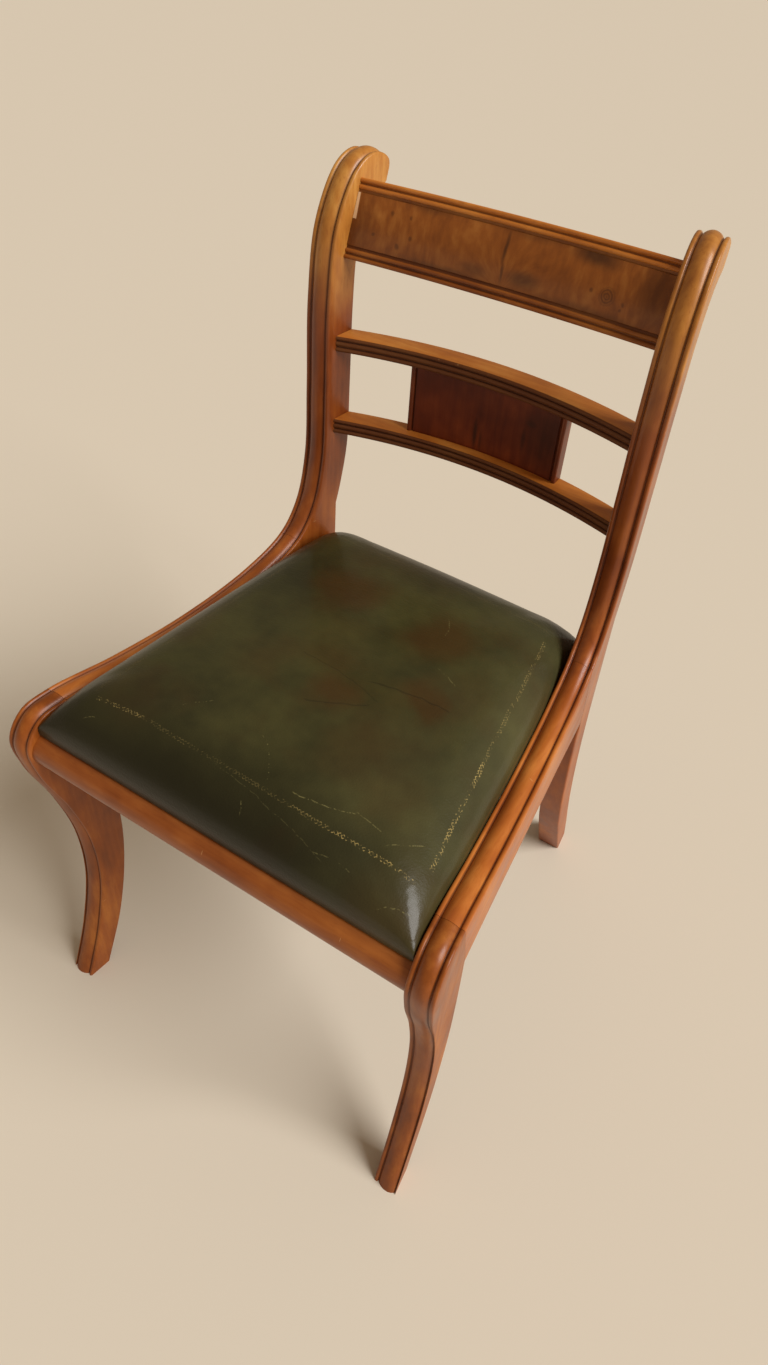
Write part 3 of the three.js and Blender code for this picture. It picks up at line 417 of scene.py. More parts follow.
def cross_rail(name, top):
    """Three reeds down the front, all darkened towards old polish and painted shade, darkest in the narrow
    grooves between them and painted a little lighter on the reed tops, and a plain bowed back.
    """
    down, rise, dark = [], [], []
    for start, end in REEDS:
        place, height = half_round(start, end, REED_DEPTH)
        down.append(place)
        rise.append(height)
        # Painted shade with gathered polish over the whole reeded front, and a painted lighter touch on the
        # reed tops.
        dark.append(REED_POLISH_AND_SHADE - REED_TOP_PAINTED_LIGHT * smooth_rise(height, 0, REED_SHADE_RISE))
    dark[0][0] = dark[-1][-1] = 0
    down, rise, dark = (join(part) for part in (down, rise, dark))
    front = cross_rail_front(top)
    back_in = front + CROSS_RAIL_DEPTH - np.array([BACK_ARRIS, 0, 0, BACK_ARRIS])
    y = join([front + REED_DEPTH - rise, back_in])
    z = top - join([down, [CROSS_RAIL_HEIGHT, CROSS_RAIL_HEIGHT - BACK_ARRIS, BACK_ARRIS, 0]])
    y = np.append(y, front + REED_DEPTH + REED_TOP_FLAT)
    z = np.append(z, top)
    dark = join([dark, np.zeros(len(y) - len(dark))])
    grid = rail_grid(np.stack([y, z], -1), CROSS_RAIL_BOW, FIT_GAP / 2, CROSS_RAIL_STEPS)
    return skin(name, grid, groove=np.broadcast_to(dark, grid.shape[:2]))


tablet_foot, tablet_top = LOWER_RAIL_TOP + FIT_GAP / 2, UPPER_RAIL_TOP - CROSS_RAIL_HEIGHT - FIT_GAP / 2
tablet_back = min(cross_rail_front(LOWER_RAIL_TOP), cross_rail_front(UPPER_RAIL_TOP)) + CROSS_RAIL_DEPTH
panel_half_width = TABLET_WIDTH / 2 - TABLET_BEAD - TABLET_GROOVE


def bowed_depth(x):
    """The tablet's back follows the rails' bow: 1 minus the share of the half width squared."""
    share = x / inner_half_width(tablet_back, LOWER_RAIL_TOP)
    return tablet_back + CROSS_RAIL_BOW * (1 - share**2)


def upright_slab(name, x, offset, angle=38, **attributes):
    """A plan outline, given as x and distance in front of the bowed back line, stood between the rails."""
    levels = np.linspace(tablet_foot, tablet_top, TABLET_LEVELS)
    y = bowed_depth(x) - offset
    grid = np.stack([np.stack([x, y, np.full(len(x), level)], -1) for level in levels])
    shades = {key: np.broadcast_to(values, grid.shape[:2]) for key, values in attributes.items()}
    return skin(name, grid, angle=angle, **shades)


def centre_tablet(name):
    """A bowed board with a rounded bead and a groove at each end of its face."""
    half = TABLET_WIDTH / 2
    floor = TABLET_THICKNESS - 2 * VENEER
    bead_x, bead_rise = half_round(half - TABLET_BEAD, half, TABLET_BEAD_RISE, 11)
    groove_x = half - TABLET_BEAD - TABLET_GROOVE * np.array([0.95, 0.7, 0.3])
    groove_rise = np.array([0, -TABLET_GROOVE_DEPTH, -TABLET_GROOVE_DEPTH])
    end_x = join([groove_x, bead_x])
    end_offset = join([floor + groove_rise, TABLET_THICKNESS - TABLET_BEAD_RISE + bead_rise])
    end_offset[-1] = TABLET_THICKNESS - TABLET_END_DROP
    dark = join([TABLET_SHADES, np.zeros(len(end_x) - len(TABLET_SHADES))])
    middle = np.linspace(-panel_half_width, panel_half_width, TABLET_STEPS)[1:-1]
    face_x = join([-end_x[::-1], middle, end_x])
    plain, back = np.zeros(len(middle)), np.zeros(TABLET_STEPS)
    face_offset = join([end_offset[::-1], plain + floor, end_offset])
    back_x = np.linspace(half, -half, TABLET_STEPS)
    return upright_slab(name, join([face_x, back_x]), join([face_offset, back]),
                        groove=join([dark[::-1], plain, dark, back]))


def tablet_panel(name):
    """A thin veneered panel that follows the tablet's bow."""
    half = panel_half_width - FIT_GAP
    back = TABLET_THICKNESS - 2 * VENEER + FIT_GAP / 2
    x = np.linspace(-half, half, TABLET_STEPS)
    offset = np.repeat([back + VENEER, back], TABLET_STEPS)
    return upright_slab(name, join([x, x[::-1]]), offset, angle=50)


def front_rail(name):
    """A rail with a bullnose front: a half circle over its whole height."""
    knee = leg_front[leg_front[:, 1] > SEAT_HEIGHT / 2, 0].min()
    face = knee + FRONT_RAIL_SET_BACK
    radius = FRONT_RAIL_HEIGHT / 2
    turn = np.linspace(-np.pi / 2, np.pi / 2, 33)
    back_in = face + FRONT_RAIL_THICKNESS - np.array([BACK_ARRIS, 0, 0, BACK_ARRIS])
    back_down = np.array([0, BACK_ARRIS, FRONT_RAIL_HEIGHT - BACK_ARRIS, FRONT_RAIL_HEIGHT])
    y = join([face + radius - radius * np.cos(turn), back_in])
    z = join([SEAT_RAIL_TOP - radius + radius * np.sin(turn), SEAT_RAIL_TOP - back_down])
    return skin(name, rail_grid(np.stack([y, z], -1), 0, FIT_GAP / 2, FRONT_RAIL_STEPS))


# Seat: a tapered leather pad over its frame
cushion_low, cushion_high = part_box("seat_cushion")
SEAT_BOTTOM = cushion_low.z / MM
SEAT_FRONT, SEAT_BACK = cushion_low.y / MM, cushion_high.y / MM
WALL_HEIGHT, EDGE_ROUND, EDGE_RISE, CROWN = 12.0, 60.0, 43.0, 4.0
SEAT_CLEARANCE, SEAT_LIFT, SEAT_FLOOR, REMESH_STEP = 0.4, 80.0, 0.5, 0.0045
HELD_WALL, FOOT_HEIGHTS, FOOT_REACHES, PUFF_ROOM = 4, (-3, 5), (9, 4), 3
SAT_ON, SAT_ON_SHARES, SPRING_BACK = 3.5, (-0.2, 0.9), 0.4


def seat_half(y):
    """Half of the pad's width, which clears the posts up to the top of its lift."""
    return inner_half_width(y, SEAT_BOTTOM + WALL_HEIGHT + SEAT_LIFT) - SEAT_CLEARANCE


def seat_rise(across, along):
    """Height over the wall: an elliptic round along each edge plus a crown of two parabolas."""
    half_span = (SEAT_BACK - SEAT_FRONT) / 2
    side_reach = np.minimum(1, (1 - np.abs(across)) * half_span / EDGE_ROUND)
    end_reach = np.minimum(1, (1 - np.abs(along)) * half_span / EDGE_ROUND)
    rounds = np.sqrt(1 - (1 - side_reach) ** 2) * np.sqrt(1 - (1 - end_reach) ** 2)
    return EDGE_RISE * rounds + CROWN * (1 - across**2) * (1 - along**2)


def seat_shell():
    """Closed pad in metres: rows of a square grid mapped to the tapered plan, walls, and a flat underside."""
    steps = 96
    place = np.sin(np.linspace(-np.pi / 2, np.pi / 2, steps + 1))
    along, across = np.meshgrid(place, place, indexing="ij")
    y = SEAT_FRONT + (SEAT_BACK - SEAT_FRONT) * (along + 1) / 2
    x = across * seat_half(y)
    top = np.stack([x, y, SEAT_BOTTOM + WALL_HEIGHT + seat_rise(across, along)], -1)
    base = np.stack([x, y, np.full(x.shape, SEAT_BOTTOM + SEAT_FLOOR)], -1)
    count = steps + 1
    index = np.arange(count * count).reshape(count, count)
    corners = [index[:-1, :-1], index[:-1, 1:], index[1:, 1:], index[1:, :-1]]
    quads = np.stack(corners, -1).reshape(-1, 4)
    rim = join([index[0, :-1], index[:-1, -1], index[-1, :0:-1], index[:0:-1, 0]])
    under = rim + count * count
    walls = np.stack([under, np.roll(under, -1), np.roll(rim, -1), rim], -1)
    faces = join([quads, quads[:, ::-1] + count * count, walls])
    return join([top.reshape(-1, 3), base.reshape(-1, 3)]) * MM, faces.tolist()


def mesh_points(mesh):
    points = np.empty(len(mesh.vertices) * 3)
    mesh.vertices.foreach_get("co", points)
    return points.reshape(-1, 3)


def puffed(piece, frames=20, pressure=4.0, cap=0.0025):
    """Cloth under pressure with its walls held. The movement is scaled so that none goes beyond the cap."""
    mesh = piece.data
    rest = mesh_points(mesh)
    held = piece.vertex_groups.new(name="held")
    wall_top = (SEAT_BOTTOM + WALL_HEIGHT + HELD_WALL) * MM
    held.add(np.nonzero(rest[:, 2] < wall_top)[0].tolist(), 1.0, "REPLACE")
    cloth = piece.modifiers.new("cloth", "CLOTH")
    cloth.settings.use_pressure = True
    cloth.settings.uniform_pressure_force = pressure
    cloth.settings.vertex_group_mass = "held"
    cloth.settings.tension_stiffness = cloth.settings.compression_stiffness = 40
    cloth.settings.bending_stiffness = 2
    cloth.settings.effector_weights.gravity = 0
    cloth.point_cache.frame_start, cloth.point_cache.frame_end = 1, frames
    scene = bpy.context.scene
    for number in range(1, frames + 1):
        scene.frame_set(number)
    evaluated = piece.evaluated_get(bpy.context.evaluated_depsgraph_get())
    moved = mesh_points(evaluated.data)
    piece.modifiers.remove(cloth)
    piece.vertex_groups.remove(held)
    scene.frame_set(1)
    shift = moved - rest
    reach = np.linalg.norm(shift, axis=1).max()
    return rest + shift * min(1, cap / max(reach, 1e-9))


def leather_seat(name):
    """The pad in small even faces, puffed as cloth, settled on its foot and subdivided once."""
    points, faces = seat_shell()
    piece = finished_mesh(name, points, faces, "drop_in_seat", 180)
    remesh = piece.modifiers.new("remesh", "REMESH")
    remesh.mode, remesh.voxel_size, remesh.use_smooth_shade = "VOXEL", REMESH_STEP, True
    evaluated = piece.evaluated_get(bpy.context.evaluated_depsgraph_get())
    mesh = bpy.data.meshes.new_from_object(evaluated)
    piece.modifiers.remove(remesh)
    piece.data = mesh
    mesh.name = name
    points = puffed(piece)
    points = settled(points)
    mesh.vertices.foreach_set("co", points.ravel())
    mesh.shade_smooth()
    mesh.update()
    fine = piece.modifiers.new("fine", "SUBSURF")
    fine.levels = fine.render_levels = 1
    return piece


def footed(offset, limit, low):
    """Moves the low foot's points, those close to the limit, out to it."""
    reach, outer, inner = np.abs(offset), *FOOT_REACHES
    return offset + np.sign(offset) * (limit - reach) * low * smooth_rise(reach, limit - outer, limit - inner)


def settled(points):
    """Keeps the pad in its outline with its foot against it, and lets the sat-on right half sink a little."""
    x, y, z = (points / MM).T
    limit = seat_half(y)
    x = np.clip(x, -limit, limit)
    y = np.clip(y, SEAT_FRONT, SEAT_BACK)
    wall_top = SEAT_BOTTOM + WALL_HEIGHT
    low = 1 - smooth_rise(z - wall_top, *FOOT_HEIGHTS)
    x = footed(x, limit, low)
    middle, half = (SEAT_FRONT + SEAT_BACK) / 2, (SEAT_BACK - SEAT_FRONT) / 2
    y = middle + footed(y - middle, half, low)
    across, along = x / limit, 2 * (y - SEAT_FRONT) / (SEAT_BACK - SEAT_FRONT) - 1
    bulge = np.clip((1 - across**2) * (1 - along**2), 0, 1)
    lift = smooth_rise(z, wall_top, wall_top + EDGE_RISE)
    z = z - lift * SAT_ON * smooth_rise(across, *SAT_ON_SHARES) * (1 - SPRING_BACK * bulge)
    z = np.clip(z, SEAT_BOTTOM, cushion_high.z / MM + PUFF_ROOM)
    return np.stack([x, y, z], 1) * MM


# Materials
def linear(hex_colour):
    """sRGB hex to linear red, green, blue and an alpha of 1."""
    parts = [int(hex_colour[start:start + 2], 16) / 255 for start in (1, 3, 5)]
    return [part / 12.92 if part <= 0.04045 else ((part + 0.055) / 1.055) ** 2.4 for part in parts] + [1.0]


def plug(node, inputs):
    """Sets a node's inputs, by name or index, to values, hex colours or other nodes' sockets."""
    for key, value in inputs.items():
        if isinstance(value, bpy.types.NodeSocket):
            node.id_data.links.new(value, node.inputs[key])
        else:
            node.inputs[key].default_value = linear(value) if isinstance(value, str) else value


def put(tree, kind, inputs=None, out=0, stops=None, **settings):
    """Adds one node and gives one output of it. Stops are a ramp's places and colours."""
    node = tree.nodes.new("ShaderNode" + kind)
    for key, value in settings.items():
        setattr(node, key, value)
    plug(node, inputs or {})
    if stops:
        elements = node.color_ramp.elements
        while len(elements) < len(stops):
            elements.new(1.0)
        for element, (place, colour) in zip(elements, stops):
            element.position = place
            element.color = linear(colour)
    return node.outputs[out] if len(node.outputs) else node


def new_material(name):
    """An empty material, the function that adds nodes to it, and its shader."""
    material = bpy.data.materials.new(name)
    material.use_nodes = True
    tree = material.node_tree
    tree.nodes.clear()
    add = functools.partial(put, tree)
    shader = add("BsdfPrincipled").node
    add("OutputMaterial", {"Surface": shader.outputs[0]})
    return material, add, shader


def dress(piece, material):
    piece.data.materials.clear()
    piece.data.materials.append(material)


COLOUR = {"data_type": "RGBA", "out": 2}
SMOOTH = {"interpolation_type": "SMOOTHSTEP"}
TIMES = {"operation": "MULTIPLY"}
TURN = {"x": (0, math.pi / 2, 0), "y": (math.pi / 2, 0, 0), "z": (0, 0, 0)}


def weighted(add, *parts):
    """Sum of sockets, each times its weight."""
    total = 0.0
    for socket, weight in parts:
        total = add("Math", {0: socket, 1: weight, 2: total}, operation="MULTIPLY_ADD")
    return total


def long_noise(add, place, stretch, scale, detail):
    """Noise drawn out along z: a stretch of 0.1 makes its marks ten times as long."""
    drawn_out = add("Mapping", {0: place, "Scale": (1, 1, stretch)})
    return add("TexNoise", {"Vector": drawn_out, "Scale": scale, "Detail": detail})


def strongest(add, sockets):
    most = sockets[0]
    for socket in sockets[1:]:
        most = add("Math", {0: most, 1: socket}, operation="MAXIMUM")
    return most


def spots(add, place, centres):
    """Soft round marks: 1 at each centre, falling to 0 at its radius. Centres are x, y, z and radius in mm."""
    marks = []
    for x, y, z, radius in centres:
        near = add("VectorMath", {0: place, 1: (x * MM, y * MM, z * MM)}, out="Value", operation="DISTANCE")
        reach = {0: near, 1: radius * MM, 2: radius * MM / 4}
        marks.append(add("MapRange", reach, **SMOOTH))
    return strongest(add, marks)


def stained_wood(name, grain, tones, gloss=0.27, bands=(), chips=()):
    """Beech, stained and lacquered: close and even, with soft clouds of stain and short darker flecks.

    Bands turn it to other tones along an axis: axis, start and end in mm, tones. The lacquer is duller low
    down, from wear. Old polish has gathered in the grooves; on the cross rails' reeded fronts the same
    darkening also stands for painted shade. Small ticks across the grain and chips show the pale wood.
    """
    material, add, shader = new_material(f"stained_beech_{name}")
    place = add("TexCoord", out="Object")
    space = add("Mapping", {0: place, "Rotation": TURN[grain]})
    cloud = add("TexNoise", {"Vector": space, "Scale": 15, "Detail": 3})
    blotch = long_noise(add, space, 0.35, 62, 3)
    streak = long_noise(add, space, 0.05, 190, 5)
    fleck = long_noise(add, space, 0.16, 560, 2)
    tone = weighted(add, (cloud, 0.42), (blotch, 0.34), (streak, 0.24))
    places = (0.35, 0.5, 0.65)
    colour = add("ValToRGB", {0: tone}, stops=list(zip(places, tones)))
    for axis, start, end, band_tones in bands:
        along = weighted(add, (add("SeparateXYZ", {0: place}, out=axis), 1.0), (cloud, BAND_WANDER * MM))
        start, end = start + BAND_WANDER / 2, end + BAND_WANDER / 2
        share = add("MapRange", {0: along, 1: start * MM, 2: end * MM}, **SMOOTH)
        band_colour = add("ValToRGB", {0: tone}, stops=list(zip(places, band_tones)))
        colour = add("Mix", {0: share, 6: colour, 7: band_colour}, **COLOUR)
    fleck_mask = add("MapRange", {0: fleck, 1: 0.57, 2: 0.7, 4: 0.25})
    colour = add("Mix", {0: fleck_mask, 6: colour, 7: tones[0]}, **COLOUR)
    groove = add("Attribute", out="Fac", attribute_name="groove")
    # Darkening towards old polish: real polish in the mouldings' grooves, and also painted shade on the cross
    # rails' reeded fronts.
    polish_and_shade = add("Math", {0: groove, 1: 0.8}, **TIMES)
    colour = add("Mix", {0: polish_and_shade, 6: colour, 7: "#3d1506"}, **COLOUR)
    across = add("Mapping", {0: space, "Scale": (1, 1, 7)})
    tick = add("TexVoronoi", {"Vector": across, "Scale": 24}, out="Distance").node
    small = add("MapRange", {0: tick.outputs["Distance"], 1: 0.07, 2: 0.04})
    rare = add("Math", {0: add("SeparateXYZ", {0: tick.outputs["Color"]}), 1: 0.9}, operation="GREATER_THAN")
    faint = add("Math", {0: rare, 1: 0.45}, **TIMES)
    worn = add("Math", {0: small, 1: faint}, **TIMES)
    if chips:
        rough_place = add("VectorMath", {0: add("TexNoise", {"Vector": place, "Scale": 400}, out=1),
                                         1: (0.002, 0.002, 0.002), 2: place}, operation="MULTIPLY_ADD")
        worn = strongest(add, [worn, spots(add, rough_place, chips)])
    colour = add("Mix", {0: worn, 6: colour, 7: "#d9a76c"}, **COLOUR)
    rough = add("MapRange", {0: blotch, 1: 0.3, 2: 0.7, 3: 0.3, 4: 0.44})
    level = add("SeparateXYZ", {0: place}, out=2)
    dull = add("MapRange", {0: level, 1: WORN_BELOW[0] * MM, 2: WORN_BELOW[1] * MM, 4: 0.14})
    rough = weighted(add, (groove, 0.25), (rough, 1.0), (dull, 1.0))
    height = weighted(add, (blotch, 0.8), (streak, 0.2))
    relief = add("Bump", {"Strength": 0.18, "Distance": 0.0006, "Height": height})
    plug(shader, {"Base Color": colour, "Roughness": rough, "Normal": relief, "Specular IOR Level": gloss,
                  "Coat Weight": gloss * 0.6, "Coat Roughness": 0.2})
    return material


def smoked(add, place, patches):
    """Soft dark patches in a veneer. Patches are x, z, half width, half height in mm and strength."""
    marks = []
    for x, z, wide, tall, strength in patches:
        middle = (-x / wide, 0, -z / tall)
        scaled = add("Mapping", {0: place, "Location": middle, "Scale": (1 / (wide * MM), 0, 1 / (tall * MM))})
        far = add("VectorMath", {0: scaled}, out="Value", operation="LENGTH")
        marks.append(add("MapRange", {0: far, 1: 1.0, 2: 0.15, 4: strength}, **SMOOTH))
    return strongest(add, marks)


def bent_place(add, place, scale, amount):
    """Object coordinates pushed about by a noise, so that what is drawn on them wanders."""
    push = add("TexNoise", {"Vector": place, "Scale": scale, "Detail": 2}, out="Color")
    push = add("VectorMath", {0: push, 1: (0.5, 0.5, 0.5)}, operation="SUBTRACT")
    return add("VectorMath", {0: push, 1: (amount * MM,) * 3, 2: place}, operation="MULTIPLY_ADD")


VENEER_LACQUER = {"Roughness": 0.38, "Specular IOR Level": 0.27, "Coat Weight": 0.1, "Coat Roughness": 0.16}


def walnut_veneer(name):
    """Feather cut walnut veneer: golden brown, smoky at its edges, with rays that fan from a dark streak.

    A ringed knot and pin knots lie in it. A short strip at the left end has lost its colour.
    """
    material, add, shader = new_material(name)
    place = add("TexCoord", out="Object")
    bent = bent_place(add, place, 30, 9)
    grain = long_noise(add, bent, 0.2, 150, 5)
    cloud = add("TexNoise", {"Vector": bent, "Scale": 34, "Detail": 3})
    root = [value * MM for value in FAN_ROOT]
    from_root = add("VectorMath", {0: bent, 1: root}, operation="SUBTRACT")
    parts = add("SeparateXYZ", {0: from_root}).node
    angle = add("Math", {0: parts.outputs[2], 1: parts.outputs[0]}, operation="ARCTAN2")
    reach = add("VectorMath", {0: from_root}, out="Value", operation="LENGTH")
    fan_place = add("CombineXYZ", {0: angle, 1: add("Math", {0: reach, 1: 8.0}, **TIMES)})
    fan = add("TexNoise", {"Vector": fan_place, "Scale": 7, "Detail": 4})
    near_fan = add("MapRange", {0: reach, 1: 0.085, 2: 0.02, 4: 0.6}, **SMOOTH)
    figure = add("Mix", {0: near_fan, 2: grain, 3: fan})
    tone = weighted(add, (figure, 0.6), (cloud, 0.4))
    colour = add("ValToRGB", {0: tone}, stops=[(0.26, "#6c3712"), (0.5, "#8c4e1b"), (0.74, "#a86a2e")])
    smoke = smoked(add, bent, VENEER_SMOKE)
    colour = add("Mix", {0: smoke, 6: colour, 7: "#3d210f"}, **COLOUR)
    flat = add("Mapping", {0: bent_place(add, place, 160, 3), "Scale": (1, 0, 1)})
    pins = spots(add, flat, [(x, 0, z, radius) for x, z, radius in PIN_KNOTS])
    x, z, radius = RINGED_KNOT
    far = add("VectorMath", {0: flat, 1: (x * MM, 0, z * MM)}, out="Value", operation="DISTANCE")
    turns = add("Math", {0: far, 1: math.tau / (KNOT_RING * MM)}, **TIMES)
    rings = add("Math", {0: turns}, operation="COSINE")
    rings = add("MapRange", {0: rings, 1: -0.6, 2: 1.0, 3: 0.2, 4: 0.6})
    knot = add("MapRange", {0: far, 1: radius * MM, 2: radius * MM * 0.5}, **SMOOTH)
    knot = add("Math", {0: knot, 1: rings}, **TIMES)
    pins = add("Math", {0: pins, 1: 0.5}, **TIMES)
    colour = add("Mix", {0: strongest(add, [pins, knot]), 6: colour, 7: "#351b0c"}, **COLOUR)
    end = add("SeparateXYZ", {0: place}).node
    bare = add("MapRange", {0: end.outputs[0], 1: BARE_END[0] * MM, 2: BARE_END[1] * MM})
    high = add("Math", {0: end.outputs[2], 1: BARE_ABOVE * MM}, operation="GREATER_THAN")
    bare = add("Math", {0: bare, 1: high}, **TIMES)
    colour = add("Mix", {0: bare, 6: colour, 7: "#d8b288"}, **COLOUR)
    relief = add("Bump", {"Strength": 0.12, "Distance": 0.0004, "Height": cloud})
    plug(shader, {"Base Color": colour, "Normal": relief, **VENEER_LACQUER})
    return material


def mahogany_veneer(name):
    """Plain mahogany veneer stood upright: deep red brown, streaked and darker to the right, under lacquer."""
    material, add, shader = new_material(name)
    place = add("TexCoord", out="Object")
    tall = add("Mapping", {0: bent_place(add, place, 26, 5), "Scale": (1, 1, 0.1)})
    stripe = add("TexNoise", {"Vector": tall, "Scale": 110, "Detail": 5, "Roughness": 0.6})
    cloud = add("TexNoise", {"Vector": place, "Scale": 32, "Detail": 2})
    tone = weighted(add, (cloud, 0.5), (stripe, 0.5))
    colour = add("ValToRGB", {0: tone}, stops=[(0.32, "#481605"), (0.5, "#602209"), (0.68, "#793211")])
    colour = add("Mix", {0: smoked(add, place, TABLET_SMOKE), 6: colour, 7: "#260d05"}, **COLOUR)
    relief = add("Bump", {"Strength": 0.12, "Distance": 0.0004, "Height": stripe})
    plug(shader, {"Base Color": colour, "Normal": relief, **VENEER_LACQUER})
    return material


def along_line(add, place, start, end):
    """How far along a line on the seat a point lies, how far beside it, and 1 between its ends. Metres."""
    run = Vector(end) - Vector(start)
    at_start = (start[0] * MM, start[1] * MM, 0)
    turned = {0: place, "Location": at_start, "Rotation": (0, 0, math.atan2(run.y, run.x))}
    local = add("SeparateXYZ", {0: add("Mapping", turned, vector_type="TEXTURE")}).node
    half = run.length / 2 * MM
    middle = add("Math", {0: local.outputs[0], 1: half}, operation="SUBTRACT")
    from_middle = add("Math", {0: middle}, operation="ABSOLUTE")
    within = add("MapRange", {0: from_middle, 1: half, 2: half - 4 * MM}, **SMOOTH)
    return local.outputs[0], local.outputs[1], within


def thin_line(add, offset, within, widths, strength):
    """Strength where the offset is under the second width in mm, falling to 0 at the first."""
    apart = add("Math", {0: offset}, operation="ABSOLUTE")
    thin = add("MapRange", {0: apart, 1: widths[0] * MM, 2: widths[1] * MM, 4: strength})
    return add("Math", {0: thin, 1: within}, **TIMES)


def gold_border(add, place):
    """A tooled line of two waves that cross each other, worn away in places, along the edges of the seat."""
    masks = []
    for start, end, strength in BORDER:
        along, beside, within = along_line(add, place, start, end)
        turns = add("Math", {0: along, 1: math.tau / (BORDER_REPEAT * MM)}, **TIMES)
        wave = add("Math", {0: turns}, operation="SINE")
        for sign in (-1, 1):
            offset = add("Math", {0: wave, 1: sign * BORDER_SWING * MM, 2: beside}, operation="MULTIPLY_ADD")
            masks.append(thin_line(add, offset, within, BORDER_WIDTHS, strength))
    return strongest(add, masks)


def cracks(add, place, lines):
    """Thin bowed lines. Lines are start, end, bow and half width in mm and strength."""
    masks = []
    for start, end, bow, half_width, strength in lines:
        along, beside, within = along_line(add, place, start, end)
        length = math.dist(start, end) * MM
        share = add("Math", {0: along, 1: 1 / length}, **TIMES)
        rest = add("Math", {0: 1.0, 1: share}, operation="SUBTRACT")
        arch = add("Math", {0: share, 1: rest}, **TIMES)
        offset = add("Math", {0: arch, 1: -4 * bow * MM, 2: beside}, operation="MULTIPLY_ADD")
        masks.append(thin_line(add, offset, within, (half_width, half_width * 0.3), strength))
    return strongest(add, masks)


def aged_leather(name):
    """Old glazed hide: dark olive green over a red brown ground that shows through, with a pebbled grain.

    Painted sheen lightens it to the right and painted shade darkens its front. The gold tooled border is worn
    into specks, and paler cracks run in the glaze.
    """
    material, add, shader = new_material(name)
    place = add("TexCoord", out="Object")
    cloud = add("TexNoise", {"Vector": place, "Scale": 8, "Detail": 4, "Roughness": 0.6})
    patch = add("TexNoise", {"Vector": bent_place(add, place, 14, 30), "Scale": 11, "Detail": 3})
    colour = add("ValToRGB", {0: cloud}, stops=[(0.35, "#2b2913"), (0.65, "#454120")])
    worn = add("MapRange", {0: patch, 1: 0.48, 2: 0.7, 4: 0.35})
    brown = spots(add, bent_place(add, place, 22, 50), WORN_PATCHES)
    brown = add("Math", {0: brown, 1: 0.6}, **TIMES)
    parts = add("SeparateXYZ", {0: place}).node
    # Painted sheen: the olive is mixed paler towards the right, for the light that falls from that side.
    painted_sheen = add("MapRange", {0: parts.outputs[0], 1: PAINTED_SHEEN_X[0] * MM, 2: PAINTED_SHEEN_X[1] * MM, 4: 0.18}, **SMOOTH)
    colour = add("Mix", {0: painted_sheen, 6: colour, 7: "#5f5b3c"}, **COLOUR)
    colour = add("Mix", {0: strongest(add, [worn, brown]), 6: colour, 7: "#42290f"}, **COLOUR)
    # Painted shade: the front of the seat, turned away from the light, is darkened towards near black, less so
    # to the right.
    front = add("MapRange", {0: parts.outputs[1], 1: PAINTED_SHADE_Y[0] * MM, 2: PAINTED_SHADE_Y[1] * MM, 4: 0.9})
    left = add("MapRange", {0: parts.outputs[0], 1: PAINTED_SHADE_X[0] * MM, 2: PAINTED_SHADE_X[1] * MM, 3: 1.0, 4: 0.1})
    front = add("Math", {0: front, 1: left}, **TIMES)
    colour = add("Mix", {0: front, 6: colour, 7: "#1f1c0b"}, **COLOUR)
    wander = bent_place(add, place, 60, 5)
    speckle = add("TexNoise", {"Vector": place, "Scale": 420, "Detail": 2})
    kept = add("TexNoise", {"Vector": place, "Scale": 38, "Detail": 3})
    kept = add("MapRange", {0: weighted(add, (speckle, 0.6), (kept, 0.4)), 1: 0.48, 2: 0.56})
    gold = add("Math", {0: gold_border(add, bent_place(add, place, 30, 3)), 1: kept}, **TIMES)
    colour = add("Mix", {0: gold, 6: colour, 7: "#a08a52"}, **COLOUR)
    split = add("Math", {0: cracks(add, wander, GLAZE_CRACKS), 1: kept}, **TIMES)
    colour = add("Mix", {0: split, 6: colour, 7: "#857c4c"}, **COLOUR)
    crease = cracks(add, wander, CREASES)
    faint = add("Math", {0: crease, 1: 0.5}, **TIMES)
    colour = add("Mix", {0: faint, 6: colour, 7: "#17150a"}, **COLOUR)
    colour = add("Mix", {0: spots(add, place, PALE_SPECKS), 6: colour, 7: "#c9c6a8"}, **COLOUR)
    pebble_place = bent_place(add, place, 300, 1.5)
    pebble = add("TexVoronoi", {"Vector": pebble_place, "Scale": 620}, out="Distance", feature="SMOOTH_F1")
    wide = add("Mapping", {0: place, "Scale": (0.35, 1, 1)})
    ripple = add("TexNoise", {"Vector": wide, "Scale": 330, "Detail": 4})
    height = weighted(add, (pebble, 0.5), (ripple, 0.9), (crease, -1.0), (split, -0.4))
    relief = add("Bump", {"Strength": 0.45, "Distance": 0.0006, "Height": height})
    rough = add("MapRange", {0: cloud, 1: 0.3, 2: 0.7, 3: 0.36, 4: 0.48})
    plug(shader, {"Base Color": colour, "Roughness": rough, "Normal": relief, "Specular IOR Level": 0.15,
                  "Coat Weight": 0.3, "Coat Roughness": 0.18})
    return material


def raw_beech(name):
    """Planed beech without finish: pale, with fine short flecks."""
    material, add, shader = new_material(name)
    space = add("Mapping", {0: add("TexCoord", out="Object"), "Rotation": TURN["x"]})
    streak = long_noise(add, space, 0.1, 260, 4)
    colour = add("ValToRGB", {0: streak}, stops=[(0.35, "#a77d4d"), (0.65, "#cfa878")])
    plug(shader, {"Base Color": colour, "Roughness": 0.65})
    return material


